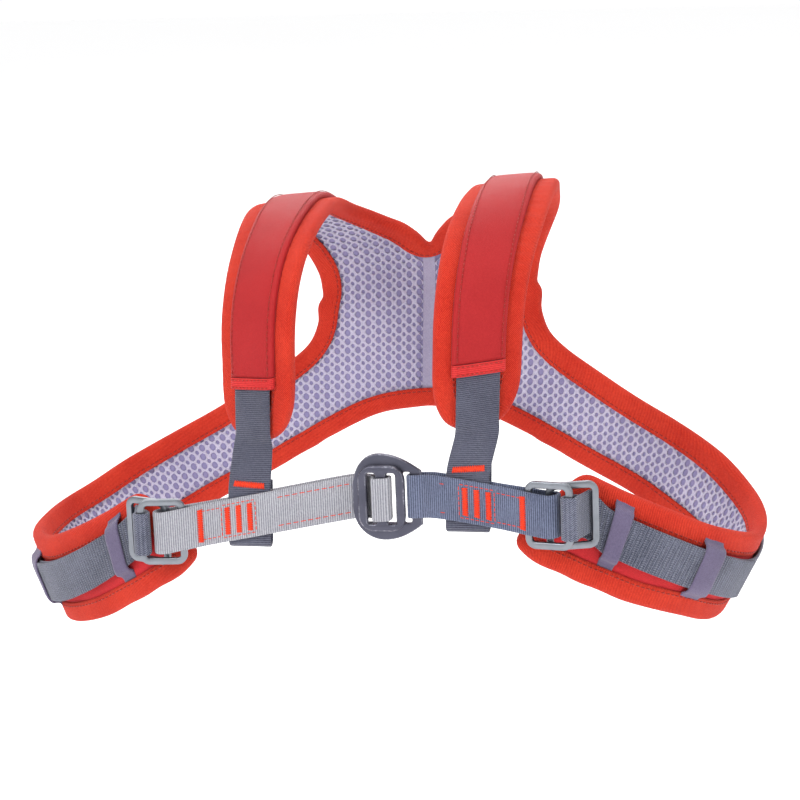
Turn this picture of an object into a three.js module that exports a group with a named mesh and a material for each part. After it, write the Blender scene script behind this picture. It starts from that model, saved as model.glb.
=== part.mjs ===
// Climbing chest harness: a padded yoke with two side wings, webbing, ring adjusters and a centre buckle.
// Millimetres. +X is the right of a viewer who faces the chest, +Y is to the back, +Z is up.
// The origin lies under the straps at the top of the shoulders, on the centre line.
import * as THREE from "three";

// Body form that the yoke lies on
const HALF_WIDTH = 222;
const HALF_DEPTH = 100;
const PLAN_POWER = 2.3;
const ARCH_RISE = 64;
const SEAT_DEPTH = 11;
const ARCH_POWER = 2.2;
const SIDE_DROP = 206;
const SIDE_LEAN = 0.48;
const STRAP_YAW = THREE.MathUtils.degToRad(18);

// How the worn harness sits askew: the right shoulder is higher and the front hangs a little to one side.
// Low down the skew is least at the sides and most at the chest strap.
const SWAY = 0.046;
const STRAP_SWAY = 8;
const SIDE_TILT = 0.006;
const CHEST_TILT = 0.065;
const BACK_TILT = 0.035;
const SHOULDER_TILT = 0.08;
const TILT_FADE_LOW = -150;
const TILT_FADE_HIGH = -60;

// Layers of the pad
const GAP = 0.3;
const LINING_THICK = 1.5;
const SHELL_RIM = 2.7;
const SHELL_FULL = 5;
const RIM_WIDTH = 13;
const RAMP_WIDTH = 8;
const SEAM_GAP = 0.3;

// Folded edge tape
const TAPE_THICK = 1;
const TAPE_LEG = 11;
const TAPE_PLAY = 0.8;

// Webbing, sleeves and keepers
const WEB_WIDTH = 25;
const WEB_THICK = 2;
const WEB_PLAY = 0.7;
const SLEEVE_THICK = 0.8;
const SLEEVE_WIDTH = 28.8;
const SLEEVE_SHOULDER = 0.9;
const HEM_LENGTH = 10;
const HEM_PROUD = 0.5;
const KEEPER_THICK = 1;
const KEEPER_MARGIN = 1.2;

// Chest strap, rings and buckle
const CHEST_CLEAR = 12;
const CHEST_PLANE = -(HALF_DEPTH + CHEST_CLEAR);
const CHEST_SHIFT = 3.8;
const STRAP_LEAD = 12;
const PLY_SPREAD = 3;
const FOLD_SPREAD = 5.3;
const BUCKLE_X = 25;
const BUCKLE_Z = -160;
const RING_Z = -176.2;
const RING_HEIGHT = 39;
const RING_BAR = 4;
const RING_THICK = 3;
const RING_CORNER = 6;
const BIG_RING_WIDTH = 30;
const SMALL_RING_WIDTH = 28;
const BIG_RING_BAR_X = 112.8;
const SMALL_RING_BAR_X = 101.6;
const BIG_RING_SAG = 1.5;
const SMALL_RING_SAG = -0.5;
const BIG_RING_TURN = THREE.MathUtils.degToRad(20);
const SMALL_RING_TURN = THREE.MathUtils.degToRad(8);
const PLATE_THICK = 3;
const FRAME_WIDTH = 40;
const FRAME_HEIGHT = 50;
const TOGGLE_WIDTH = 27;
const TOGGLE_HEIGHT = 38;
const TOGGLE_THICK = 4;
const TOGGLE_CORNER = 8.5;
const TOGGLE_BAR = 6.4;

// Mesh steps
const BAND_STEP = 26;
const STRAP_STEP = 17;
const FREE_STEP = 14;
const FOLD_STEPS = 8;

// The band of the yoke from the centre of the back to the wing's tip, one row for each cross line.
// Around is a share of the half girth, drop is a share of SIDE_DROP below the level of the strap tops,
// and web is the share of the row, from its low end, at which the torso webbing runs.
const BAND = [
  { topAround: 0, topDrop: 0.262, lowAround: 0, lowDrop: 0.748, web: 0.26 },
  { topAround: 0.0612, topDrop: 0.316, lowAround: 0.062, lowDrop: 0.77, web: 0.3 },
  { topAround: 0.1237, topDrop: 0.388, lowAround: 0.122, lowDrop: 0.84, web: 0.31 },
  { topAround: 0.13, topDrop: 0.471, lowAround: 0.137, lowDrop: 0.864, web: 0.36 },
  { topAround: 0.1395, topDrop: 0.536, lowAround: 0.15, lowDrop: 0.881, web: 0.41 },
  { topAround: 0.158, topDrop: 0.587, lowAround: 0.164, lowDrop: 0.9, web: 0.455 },
  { topAround: 0.185, topDrop: 0.638, lowAround: 0.181, lowDrop: 0.925, web: 0.5 },
  { topAround: 0.2418, topDrop: 0.733, lowAround: 0.213, lowDrop: 0.966, web: 0.53 },
  { topAround: 0.29, topDrop: 0.799, lowAround: 0.255, lowDrop: 1.016, web: 0.54 },
  { topAround: 0.349, topDrop: 0.874, lowAround: 0.31, lowDrop: 1.085, web: 0.54 },
  { topAround: 0.413, topDrop: 0.951, lowAround: 0.385, lowDrop: 1.16, web: 0.54 },
  { topAround: 0.484, topDrop: 0.995, lowAround: 0.47, lowDrop: 1.21, web: 0.54 },
  { topAround: 0.545, topDrop: 0.995, lowAround: 0.55, lowDrop: 1.23, web: 0.53 },
  { topAround: 0.612, topDrop: 0.961, lowAround: 0.622, lowDrop: 1.196, web: 0.54 },
  { topAround: 0.666, topDrop: 0.905, lowAround: 0.69, lowDrop: 1.145, web: 0.57 },
  { topAround: 0.7155, topDrop: 0.842, lowAround: 0.731, lowDrop: 1.096, web: 0.59 },
  { topAround: 0.74, topDrop: 0.805, lowAround: 0.753, lowDrop: 1.07, web: 0.61 },
  { topAround: 0.759, topDrop: 0.781, lowAround: 0.773, lowDrop: 1.04, web: 0.66 },
  { topAround: 0.776, topDrop: 0.811, lowAround: 0.789, lowDrop: 1.02, web: 0.66 },
  { topAround: 0.795, topDrop: 0.866, lowAround: 0.802, lowDrop: 1.0, web: 0.66 },
  { topAround: 0.811, topDrop: 0.908, lowAround: 0.813, lowDrop: 0.975, web: 0.66 },
  { topAround: 0.8195, topDrop: 0.934, lowAround: 0.8195, lowDrop: 0.956, web: 0.66 },
];
const ROOT_ROW = 2;
const RIGHT_WEB_LEAVES_ROW = 15.4;
const LEFT_WEB_LEAVES_ROW = 16;
const TAIL_END_ROW = 11.9;
const RIGHT_KEEPER_ROWS = [14.75, 15.3];
const LEFT_KEEPER_ROWS = [15.15, 15.9];
const RIGHT_REAR_KEEPER_ROWS = [12.75, 13.15];
const LEFT_REAR_KEEPER_ROWS = [12.2, 12.65];

// The shoulder strap from the yoke's root to its front end, one row for each cross line.
// Around is a share of the half girth, along is a share of the arch over the shoulder.
const STRAP = [
  { neckAround: 0, neckAlong: 0.0825, armAround: 0.1237, armAlong: -0.0191 },
  { neckAround: 0.0125, neckAlong: 0.118, armAround: 0.1265, armAlong: 0.0319 },
  { neckAround: 0.028, neckAlong: 0.1557, armAround: 0.132, armAlong: 0.0695 },
  { neckAround: 0.0433, neckAlong: 0.1822, armAround: 0.139, armAlong: 0.1087 },
  { neckAround: 0.0596, neckAlong: 0.2222, armAround: 0.148, armAlong: 0.1621 },
  { neckAround: 0.073, neckAlong: 0.2699, armAround: 0.1535, armAlong: 0.2128 },
  { neckAround: 0.078, neckAlong: 0.3293, armAround: 0.1575, armAlong: 0.2892 },
  { neckAround: 0.079, neckAlong: 0.4114, armAround: 0.1615, armAlong: 0.3917 },
  { neckAround: 0.0785, neckAlong: 0.5, armAround: 0.1625, armAlong: 0.5 },
  { neckAround: 0.0765, neckAlong: 0.6475, armAround: 0.1605, armAlong: 0.6475 },
  { neckAround: 0.0745, neckAlong: 0.7919, armAround: 0.1585, armAlong: 0.7919 },
  { neckAround: 0.0735, neckAlong: 1, armAround: 0.1565, armAlong: 1 },
  { neckAround: 0.074, neckAlong: 1.1007, armAround: 0.156, armAlong: 1.1007 },
  { neckAround: 0.079, neckAlong: 1.1453, armAround: 0.151, armAlong: 1.1453 },
  { neckAround: 0.088, neckAlong: 1.175, armAround: 0.142, armAlong: 1.175 },
  { neckAround: 0.101, neckAlong: 1.1898, armAround: 0.129, armAlong: 1.1898 },
];
const HEM_ROW = 11.7;
const SLEEVE_START_ROW = 0.5;
const WEB_END_ROW = 14.3;

// Colours
const SHELL_RED = 0xd8343a;
const TAPE_RED = 0xe8402a;
const SLEEVE_RED = 0xc8363a;
const HEM_RED = 0xdc3c3e;
const MESH_PALE = 0xc2bdd6;
const WEB_GREY = 0x585a69;
const WEB_BLUE = 0x50566b;
const WEB_SILVER = 0xc2c2ca;
const KEEPER_PURPLE = 0x6e6480;
const RING_GREY = 0x8f9399;
const BUCKLE_DARK = 0x4c4c58;

const group = new THREE.Group();
const SPRING_Z = -(ARCH_RISE + SEAT_DEPTH);
const SHELL_BASE = LINING_THICK + GAP;
const WEB_LIFT = SHELL_BASE + SHELL_FULL + WEB_PLAY + WEB_THICK / 2;
const TAIL_LIFT = WEB_LIFT + WEB_THICK + GAP;
const TAPE_TOP = SHELL_BASE + SHELL_RIM + TAPE_PLAY + TAPE_THICK;

// Adds one named solid with its own material
function add(name, geometry, color, roughness, metalness = 0) {
  const material = new THREE.MeshStandardMaterial({ color, roughness, metalness });
  const mesh = new THREE.Mesh(geometry, material);
  mesh.name = name;
  group.add(mesh);
  return mesh;
}

// Smooth step from 0 to 1
function ease(value) {
  const t = THREE.MathUtils.clamp(value, 0, 1);
  return t * t * (3 - 2 * t);
}

// One column of a table, read at a fractional row along a smooth curve through its rows
function read(table, column, row) {
  const i = Math.min(Math.max(Math.floor(row), 0), table.length - 2);
  const t = row - i;
  const at = (k) => table[Math.min(Math.max(k, 0), table.length - 1)][column];
  const p1 = at(i);
  const p2 = at(i + 1);
  const m1 = i === 0 ? p2 - p1 : (p2 - at(i - 1)) / 2;
  const m2 = i === table.length - 2 ? p2 - p1 : (at(i + 2) - p1) / 2;
  const t2 = t * t;
  const t3 = t2 * t;
  return (2 * t3 - 3 * t2 + 1) * p1 + (t3 - 2 * t2 + t) * m1 + (3 * t2 - 2 * t3) * p2 + (t3 - t2) * m2;
}

// A curve walked at even steps: returns its length and a function from length to its two coordinates
function walk(curve) {
  const count = 720;
  const points = Array.from({ length: count + 1 }, (_, i) => curve(i / count));
  const lengths = [0];
  for (let i = 1; i <= count; i++) {
    const [ax, ay] = points[i - 1];
    const [bx, by] = points[i];
    lengths.push(lengths[i - 1] + Math.hypot(bx - ax, by - ay));
  }
  const total = lengths[count];
  const at = (length) => {
    const wanted = THREE.MathUtils.clamp(length, 0, total);
    let low = 0;
    let high = count;
    while (high - low > 1) {
      const middle = (low + high) >> 1;
      if (lengths[middle] <= wanted) low = middle;
      else high = middle;
    }
    const t = (wanted - lengths[low]) / (lengths[high] - lengths[low]);
    return [0, 1].map((k) => THREE.MathUtils.lerp(points[low][k], points[high][k], t));
  };
  return { total, at };
}

const power = (value, exponent) => Math.sign(value) * Math.abs(value) ** exponent;

// Plan of the body from the centre of the back round one side to the centre of the front
const plan = walk((t) => [
  HALF_WIDTH * power(Math.sin(Math.PI * t), 2 / PLAN_POWER),
  HALF_DEPTH * power(Math.cos(Math.PI * t), 2 / PLAN_POWER),
]);

// Profile over the shoulder from the back to the front, as depth share and height above its foot
const arch = walk((t) => [
  HALF_DEPTH * power(Math.cos(Math.PI * t), 2 / ARCH_POWER),
  ARCH_RISE * power(Math.sin(Math.PI * t), 2 / ARCH_POWER),
]);
const GIRTH = plan.total;
const ARCH = arch.total;

// Height coordinate of a drop below the shoulders, measured from the foot of the arch
const dropToAlong = (drop) => -drop * SIDE_DROP - SPRING_Z;

// A point of the body form: around in millimetres from the back's centre, along in millimetres from the
// foot of the arch at the back, over the shoulder
function bodyPoint(around, along) {
  const [x, y] = plan.at(Math.abs(around));
  const onArch = THREE.MathUtils.clamp(along, 0, ARCH);
  const [depth, rise] = arch.at(onArch);
  const below = along < 0 ? along : Math.min(0, ARCH - along);
  const z = SPRING_Z + rise + below;
  const reach = x / HALF_WIDTH;
  const lean = SIDE_LEAN * (z + SIDE_DROP) * reach ** 3;
  return new THREE.Vector3(Math.sign(around) * (x + lean), y * (depth / HALF_DEPTH), z);
}

// The front of each strap turns outwards about its centre line and hangs a little to the right
const STRAP_CENTRE = ((STRAP.at(-1).neckAround + STRAP.at(-1).armAround) / 2) * GIRTH;
function turnedPoint(around, along) {
  const point = bodyPoint(around, along);
  point.x += STRAP_SWAY * ease((along / ARCH - 0.25) / 0.5);
  const turn = STRAP_YAW * ease((along / ARCH - 0.5) / 0.4);
  if (turn === 0) return point;
  const side = Math.sign(around) || 1;
  const centre = bodyPoint(side * STRAP_CENTRE, along);
  centre.x += STRAP_SWAY * ease((along / ARCH - 0.25) / 0.5);
  const ahead = bodyPoint(side * STRAP_CENTRE, along + 1).sub(bodyPoint(side * STRAP_CENTRE, along - 1));
  return point.sub(centre).applyAxisAngle(ahead.normalize(), -side * turn).add(centre);
}

// A point lifted off the body form by its own normal, before the harness is settled askew
function lifted(around, along, lift) {
  const shift = 0.5;
  const side = around < 0 ? -1 : 1;
  const near = Math.max(Math.abs(around), shift);
  const acrossBody = turnedPoint(side * (near + shift), along).sub(turnedPoint(side * near, along));
  const upBody = turnedPoint(side * near, along + shift).sub(turnedPoint(side * near, along - shift));
  const normal = upBody.cross(acrossBody).multiplyScalar(side).normalize();
  if (Math.abs(around) < shift) normal.setX(0).normalize();
  return turnedPoint(around, along).addScaledVector(normal, lift);
}

// The slight skew of the worn harness
function settle(point) {
  const depth = -point.y / HALF_DEPTH;
  const low = SIDE_TILT + (CHEST_TILT - SIDE_TILT) * ease(depth) + (BACK_TILT - SIDE_TILT) * ease(-depth);
  const fade = ease((point.z - TILT_FADE_LOW) / (TILT_FADE_HIGH - TILT_FADE_LOW));
  const tilt = low + (SHOULDER_TILT - low) * fade;
  const x = point.x + SWAY * point.z;
  return new THREE.Vector3(x, point.y, point.z + tilt * x + SEAT_DEPTH);
}

const place = (around, along, lift) => settle(lifted(around, along, lift));

// A closed solid from corner points and triangles, turned so that its faces point out
function solid(points, faces) {
  let volume = 0;
  const cross = new THREE.Vector3();
  for (const [a, b, c] of faces) volume += points[a].dot(cross.crossVectors(points[b], points[c]));
  const ordered = volume < 0 ? faces.map(([a, b, c]) => [a, c, b]) : faces;
  const geometry = new THREE.BufferGeometry();
  const flat = points.flatMap((p) => [p.x, p.y, p.z]);
  geometry.setAttribute("position", new THREE.Float32BufferAttribute(flat, 3));
  geometry.setIndex(ordered.flat());
  geometry.computeVertexNormals();
  return geometry;
}

// Faces of a tube of equal rings, joined end to end or capped by the triangles given
function tubeFaces(rings, size, closed, cap) {
  const faces = [];
  const spans = closed ? rings : rings - 1;
  for (let i = 0; i < spans; i++) {
    const here = i * size;
    const next = ((i + 1) % rings) * size;
    for (let k = 0; k < size; k++) {
      const l = (k + 1) % size;
      // Opposite faces of an open strip are split along the same diagonal, so that a thin twisted wall stays whole
      const turned = !closed && k >= size / 2;
      if (turned) faces.push([here + k, here + l, next + k], [here + l, next + l, next + k]);
      else faces.push([here + k, here + l, next + l], [here + k, next + l, next + k]);
    }
  }
  if (!closed) {
    const last = (rings - 1) * size;
    for (const [a, b, c] of cap) faces.push([a, c, b], [last + a, last + b, last + c]);
  }
  return faces;
}

const QUAD_CAP = [[0, 1, 2], [0, 2, 3]];
const CHANNEL_CAP = [[0, 1, 6], [0, 6, 7], [1, 2, 5], [1, 5, 6], [2, 3, 4], [2, 4, 5]];

// Corners of a flat strip along stations, each with a centre and a width direction; facing -1 turns it over
function ribbonRings(stations, width, thick, closed, facing = 1) {
  const count = stations.length;
  const rings = [];
  for (let i = 0; i < count; i++) {
    const before = stations[closed ? (i + count - 1) % count : Math.max(i - 1, 0)].centre;
    const after = stations[closed ? (i + 1) % count : Math.min(i + 1, count - 1)].centre;
    const { centre, across } = stations[i];
    const ahead = after.clone().sub(before).normalize();
    const normal = ahead.clone().cross(across).setLength(facing);
    rings.push([[-1, -1], [1, -1], [1, 1], [-1, 1]].map(([w, t]) =>
      centre.clone().addScaledVector(across, (w * width) / 2).addScaledVector(normal, (t * thick) / 2)));
  }
  return rings;
}

// Outline of one half of the yoke

// Fractional rows of a table so that neighbours lie about one step apart
function rowsOf(table, evenUpTo, step, pointAt) {
  const rows = [];
  for (let i = 0; i < table.length - 1; i++) {
    const span = pointAt(i).distanceTo(pointAt(i + 1));
    const pieces = i < evenUpTo ? 2 : Math.max(1, Math.round(span / step));
    for (let k = 0; k < pieces; k++) rows.push(i + k / pieces);
  }
  rows.push(table.length - 1);
  return rows;
}

const bandTop = (row) =>
  new THREE.Vector2(read(BAND, "topAround", row) * GIRTH, dropToAlong(read(BAND, "topDrop", row)));
const bandLow = (row) =>
  new THREE.Vector2(read(BAND, "lowAround", row) * GIRTH, dropToAlong(read(BAND, "lowDrop", row)));
const strapNeck = (row) =>
  new THREE.Vector2(read(STRAP, "neckAround", row) * GIRTH, read(STRAP, "neckAlong", row) * ARCH);
const strapArm = (row) =>
  new THREE.Vector2(read(STRAP, "armAround", row) * GIRTH, read(STRAP, "armAlong", row) * ARCH);

const bandRows = rowsOf(BAND, ROOT_ROW, BAND_STEP, (i) => bandTop(i).lerp(bandLow(i), 0.5));
const strapRows = rowsOf(STRAP, 1, STRAP_STEP, (i) => strapNeck(i).lerp(strapArm(i), 0.5));
const ROOT_COLUMNS = ROOT_ROW * 2;
const COLUMNS = 5;
const LAST = COLUMNS - 1;

// The two ends of every row; the first strap row is the root line on the band
const rootLine = [bandTop(0), bandTop(ROOT_ROW)];
const rootEnds = [0, 0.17, 0.5, 0.83, 1].map((share) => rootLine[0].clone().lerp(rootLine[1], share));
const strapEnds = strapRows.map((row) => (row === 0 ? rootLine : [strapNeck(row), strapArm(row)]));
const bandEnds = bandRows.map((row, i) => [bandLow(row), i <= ROOT_COLUMNS ? rootEnds[i] : bandTop(row)]);

// The bound edge: neck, strap end, armhole, wing top, wing tip, lower edge
const stripEnd = (ends, shares) => shares.map((share) => ends[0].clone().lerp(ends[1], share));
const boundEdge = [
  ...strapEnds.map((ends) => ends[0]),
  ...stripEnd(strapEnds.at(-1), [0.33, 0.67]),
  ...strapEnds.map((ends) => ends[1]).reverse(),
  ...bandEnds.slice(ROOT_COLUMNS + 1).map((ends) => ends[1]),
  ...stripEnd(bandEnds.at(-1), [0.67, 0.33]),
  ...bandEnds.map((ends) => ends[0]).reverse(),
];

// Distance from a point of the pattern to the bound edge
function edgeDistance(point) {
  let best = Infinity;
  for (let i = 0; i < boundEdge.length - 1; i++) {
    const a = boundEdge[i];
    const along = boundEdge[i + 1].clone().sub(a);
    const t = THREE.MathUtils.clamp(point.clone().sub(a).dot(along) / along.lengthSq(), 0, 1);
    best = Math.min(best, point.distanceTo(a.clone().addScaledVector(along, t)));
  }
  return best;
}

const shellThickness = (point) =>
  SHELL_RIM + (SHELL_FULL - SHELL_RIM) * ease((edgeDistance(point) - RIM_WIDTH) / RAMP_WIDTH);

// Shares of a row at which the pad first stands a rim's width inside the bound edge, from either end
function rimShares([from, to]) {
  const most = 0.33;
  const clear = (share) => edgeDistance(from.clone().lerp(to, share)) >= RIM_WIDTH;
  let low = 0.12;
  while (low < most && !clear(low)) low += 0.005;
  let high = 0.12;
  while (high < most && !clear(1 - high)) high += 0.005;
  return [0, low, 0.5, 1 - high, 1];
}

const spread = (ends, shares) => shares.map((share) => ends[0].clone().lerp(ends[1], share));
const strapGrid = strapEnds.map((ends, i) => {
  if (i === 0) return rootEnds;
  return spread(ends, i === strapEnds.length - 1 ? [0, 0.33, 0.5, 0.67, 1] : rimShares(ends));
});
const bandGrid = bandEnds.map((ends, i) =>
  spread(ends, i === bandEnds.length - 1 ? [0, 0.33, 0.5, 0.67, 1] : rimShares(ends)));

// One half of a pad layer between two lifts, walled round its edge
function padLayer(side, lowLift, highLift) {
  const corners = [];
  const index = new Map();
  const cells = [];
  const corner = (p) => {
    const key = `${p.x.toFixed(2)},${p.y.toFixed(2)}`;
    if (!index.has(key)) {
      index.set(key, corners.length);
      corners.push(p);
    }
    return index.get(key);
  };
  for (const grid of [bandGrid, strapGrid.map((line) => line.slice().reverse())]) {
    for (let i = 0; i < grid.length - 1; i++) {
      for (let j = 0; j < grid[i].length - 1; j++) {
        cells.push([grid[i][j], grid[i + 1][j], grid[i + 1][j + 1], grid[i][j + 1]].map(corner));
      }
    }
  }
  const count = corners.length;
  const points = [];
  for (const lift of [lowLift, highLift]) {
    for (const p of corners) {
      const point = lifted(side * p.x, p.y, lift(p));
      if (p.x < SEAM_GAP) point.setX((side * SEAM_GAP) / 2);
      points.push(settle(point));
    }
  }
  const faces = [];
  const edges = new Map();
  for (const quad of cells) {
    const [a, b, c, d] = quad;
    faces.push([a, c, b], [a, d, c]);
    faces.push([count + a, count + b, count + c], [count + a, count + c, count + d]);
    quad.forEach((from, k) => edges.set(`${from},${quad[(k + 1) % 4]}`, [from, quad[(k + 1) % 4]]));
  }
  for (const [from, to] of edges.values()) {
    if (edges.has(`${to},${from}`)) continue;
    faces.push([from, to, count + to], [from, count + to, count + from]);
  }
  return solid(points, faces);
}

// Folded tape round the whole yoke, a channel that takes in the edges of lining and shell
function edgeTape() {
  const right = boundEdge.slice(0, -1);
  const left = boundEdge.slice(1).reverse().map((p) => new THREE.Vector2(-p.x, p.y));
  const loop = [...right, ...left];
  const outer = -(TAPE_PLAY + TAPE_THICK);
  const section = [
    [outer, outer],
    [TAPE_LEG, outer],
    [TAPE_LEG, -TAPE_PLAY],
    [-TAPE_PLAY, -TAPE_PLAY],
    [-TAPE_PLAY, TAPE_TOP - TAPE_THICK],
    [TAPE_LEG, TAPE_TOP - TAPE_THICK],
    [TAPE_LEG, TAPE_TOP],
    [outer, TAPE_TOP],
  ];
  const points = [];
  loop.forEach((here, i) => {
    const before = loop[(i + loop.length - 1) % loop.length];
    const after = loop[(i + 1) % loop.length];
    const ahead = after.clone().sub(here).normalize().add(here.clone().sub(before).normalize()).normalize();
    const inward = new THREE.Vector2(ahead.y, -ahead.x);
    for (const [depth, lift] of section) {
      const p = here.clone().addScaledVector(inward, depth);
      points.push(place(p.x, p.y, lift));
    }
  });
  return solid(points, tubeFaces(loop.length, section.length, true));
}

for (const [name, side] of [["right", 1], ["left", -1]]) {
  const shell = padLayer(side, () => SHELL_BASE, (p) => SHELL_BASE + shellThickness(p));
  add(`pad_shell_${name}`, shell, SHELL_RED, 0.8);
  add(`mesh_lining_${name}`, padLayer(side, () => 0, () => LINING_THICK), MESH_PALE, 0.9);
}
add("edge_binding", edgeTape(), TAPE_RED, 0.75);

// Lines that webbing and sleeves follow on the pad

const strapLine = (row) => (row <= 0 ? rootLine : [strapNeck(row), strapArm(row)]);
const strapMiddle = (row) => new THREE.Vector2().lerpVectors(...strapLine(row), 0.5);
const bandLine = (row) => [bandLow(row), bandTop(row)];
const bandMiddle = (row) => bandLow(row).lerp(bandTop(row), read(BAND, "web", row));

// A pattern point on a row, offset from the path by so many millimetres at right angles to the path
function acrossRow(line, path, row, offset) {
  const [from, to] = line(row);
  const along = to.clone().sub(from).normalize();
  const reach = 0.05;
  const ahead = path(row + reach).sub(path(Math.max(row - reach, 0))).normalize();
  if (path === bandMiddle && row < reach) ahead.set(1, 0);
  return path(row).addScaledVector(along, offset / Math.abs(ahead.cross(along)));
}

const onStrap = (side, row, offset, lift) => {
  const p = acrossRow(strapLine, strapMiddle, row, offset);
  return place(side * p.x, p.y, lift);
};
const onBand = (side, row, offset, lift) => {
  const p = acrossRow(bandLine, bandMiddle, row, offset);
  return place(side * p.x, p.y, lift);
};

// The four corners of a strip of webbing on a row
const webCorners = (on, side, row, width, lift) =>
  [[-1, -1], [1, -1], [1, 1], [-1, 1]].map(([w, t]) =>
    on(side, row, (w * width) / 2, lift + (t * WEB_THICK) / 2));

// Rows of a list between two rows, with those two as its ends
const rowsBetween = (rows, from, to) => [from, ...rows.filter((row) => row > from && row < to), to];

// A solid swept through equal rings of corners
const sweep = (rings, cap) =>
  solid(rings.flat(), tubeFaces(rings.length, rings[0].length, false, cap));

const SLEEVE_FOOT = TAPE_TOP + GAP;
const SLEEVE_TOP = WEB_LIFT + WEB_THICK / 2 + GAP + SLEEVE_THICK;

// A raised cover over the shoulder webbing between two rows of the strap
function sleeveCover(side, from, to, proud) {
  const half = SLEEVE_WIDTH / 2 + proud * 0.2;
  const top = SLEEVE_TOP + proud;
  const section = [
    [-half, SLEEVE_FOOT],
    [-half + SLEEVE_SHOULDER, top],
    [half - SLEEVE_SHOULDER, top],
    [half, SLEEVE_FOOT],
    [half - SLEEVE_THICK, SLEEVE_FOOT],
    [half - SLEEVE_SHOULDER - SLEEVE_THICK, top - SLEEVE_THICK],
    [-half + SLEEVE_SHOULDER + SLEEVE_THICK, top - SLEEVE_THICK],
    [-half + SLEEVE_THICK, SLEEVE_FOOT],
  ];
  const rows = rowsBetween(strapRows, from, to);
  return sweep(rows.map((row) => section.map(([w, lift]) => onStrap(side, row, w, lift))), CHANNEL_CAP);
}

// Fractional row of the strap that lies so many millimetres before another
const rowBefore = (row, length) => row - length / strapMiddle(row).distanceTo(strapMiddle(row - 1));
const hemTopRow = rowBefore(HEM_ROW, HEM_LENGTH);
const sleeveEndRow = rowBefore(HEM_ROW, HEM_LENGTH + GAP);
for (const [name, side] of [["right", 1], ["left", -1]]) {
  add(`shoulder_sleeve_${name}`, sleeveCover(side, SLEEVE_START_ROW, sleeveEndRow, 0), SLEEVE_RED, 0.6);
  add(`sleeve_hem_${name}`, sleeveCover(side, hemTopRow, HEM_ROW, HEM_PROUD), HEM_RED, 0.7);
}

// Stations at hand-set points, with smooth ones between points that lie far apart
function chain(points, acrosses, closed = false) {
  const curve = new THREE.CatmullRomCurve3(points, closed, "centripetal");
  const spans = closed ? points.length : points.length - 1;
  const stations = [];
  for (let i = 0; i < spans; i++) {
    const next = (i + 1) % points.length;
    const pieces = Math.max(1, Math.round(points[i].distanceTo(points[next]) / FREE_STEP));
    for (let k = 0; k < pieces; k++) {
      const centre = curve.getPoint((i + k / pieces) / spans);
      stations.push({ centre, across: acrosses[i].clone().lerp(acrosses[next], k / pieces).normalize() });
    }
  }
  if (!closed) stations.push({ centre: points.at(-1), across: acrosses.at(-1) });
  return stations;
}

// Height of the chest strap's centre line
const chestZ = (x) => {
  const reach = Math.abs(x - BUCKLE_X) - FRAME_WIDTH / 2;
  const ringX = Math.sign(x - BUCKLE_X) * BIG_RING_BAR_X + CHEST_SHIFT;
  const full = Math.abs(ringX - BUCKLE_X) - FRAME_WIDTH / 2;
  return BUCKLE_Z + (RING_Z - BUCKLE_Z) * THREE.MathUtils.clamp(reach / full, 0, 1);
};

// Shoulder webbing: under its sleeve, down between the plies of the chest strap, and back up behind it
const SHOULDER_WEB_X = 64;
const SHOULDER_WEB_SHIFT = 6;
const SHOULDER_LIP = 16;
const SHOULDER_RETURN = 20;
const SHOULDER_LEAVING = 6;
const UP = new THREE.Vector3(0, 0, 1);
for (const [name, side] of [["right", 1], ["left", -1]]) {
  const rows = rowsBetween(strapRows, SLEEVE_START_ROW, WEB_END_ROW);
  const upper = rows.map((row) => webCorners(onStrap, side, row, WEB_WIDTH, WEB_LIFT));
  const end = onStrap(side, WEB_END_ROW, 0, WEB_LIFT);
  const endAcross = onStrap(side, WEB_END_ROW, 1, WEB_LIFT).sub(end).normalize();
  const x = side * SHOULDER_WEB_X + SHOULDER_WEB_SHIFT;
  const z = chestZ(x);
  const turn = PLY_SPREAD + WEB_THICK / 2 + GAP;
  const behind = CHEST_PLANE + turn + WEB_THICK / 2;
  const low = z - SHOULDER_LIP;
  const flat = new THREE.Vector3(side, 0, 0);
  const before = onStrap(side, WEB_END_ROW - 0.3, 0, WEB_LIFT);
  const leaving = end.clone().add(end.clone().sub(before).setLength(SHOULDER_LEAVING));
  const hung = [
    [CHEST_PLANE, z + WEB_WIDTH * 0.62],
    [CHEST_PLANE, z - WEB_WIDTH * 0.45],
    [CHEST_PLANE + 0.4, low - 0.6],
    [(CHEST_PLANE + behind) / 2, low - 2.2],
    [behind - 0.4, low - 0.6],
    [behind, z - WEB_WIDTH * 0.45],
    [behind, z + WEB_WIDTH / 2],
    [behind - 0.4, z + SHOULDER_RETURN],
  ].map(([y, height]) => settle(new THREE.Vector3(x, y, height)));
  const turning = endAcross.clone().lerp(flat, 0.4).normalize();
  const acrosses = [endAcross, turning, ...hung.map(() => flat)];
  const hanging = ribbonRings(chain([end, leaving, ...hung], acrosses), WEB_WIDTH, WEB_THICK, false, side);
  add(`shoulder_webbing_${name}`, sweep([...upper, ...hanging.slice(1)], QUAD_CAP), WEB_GREY, 0.8);
}

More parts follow.
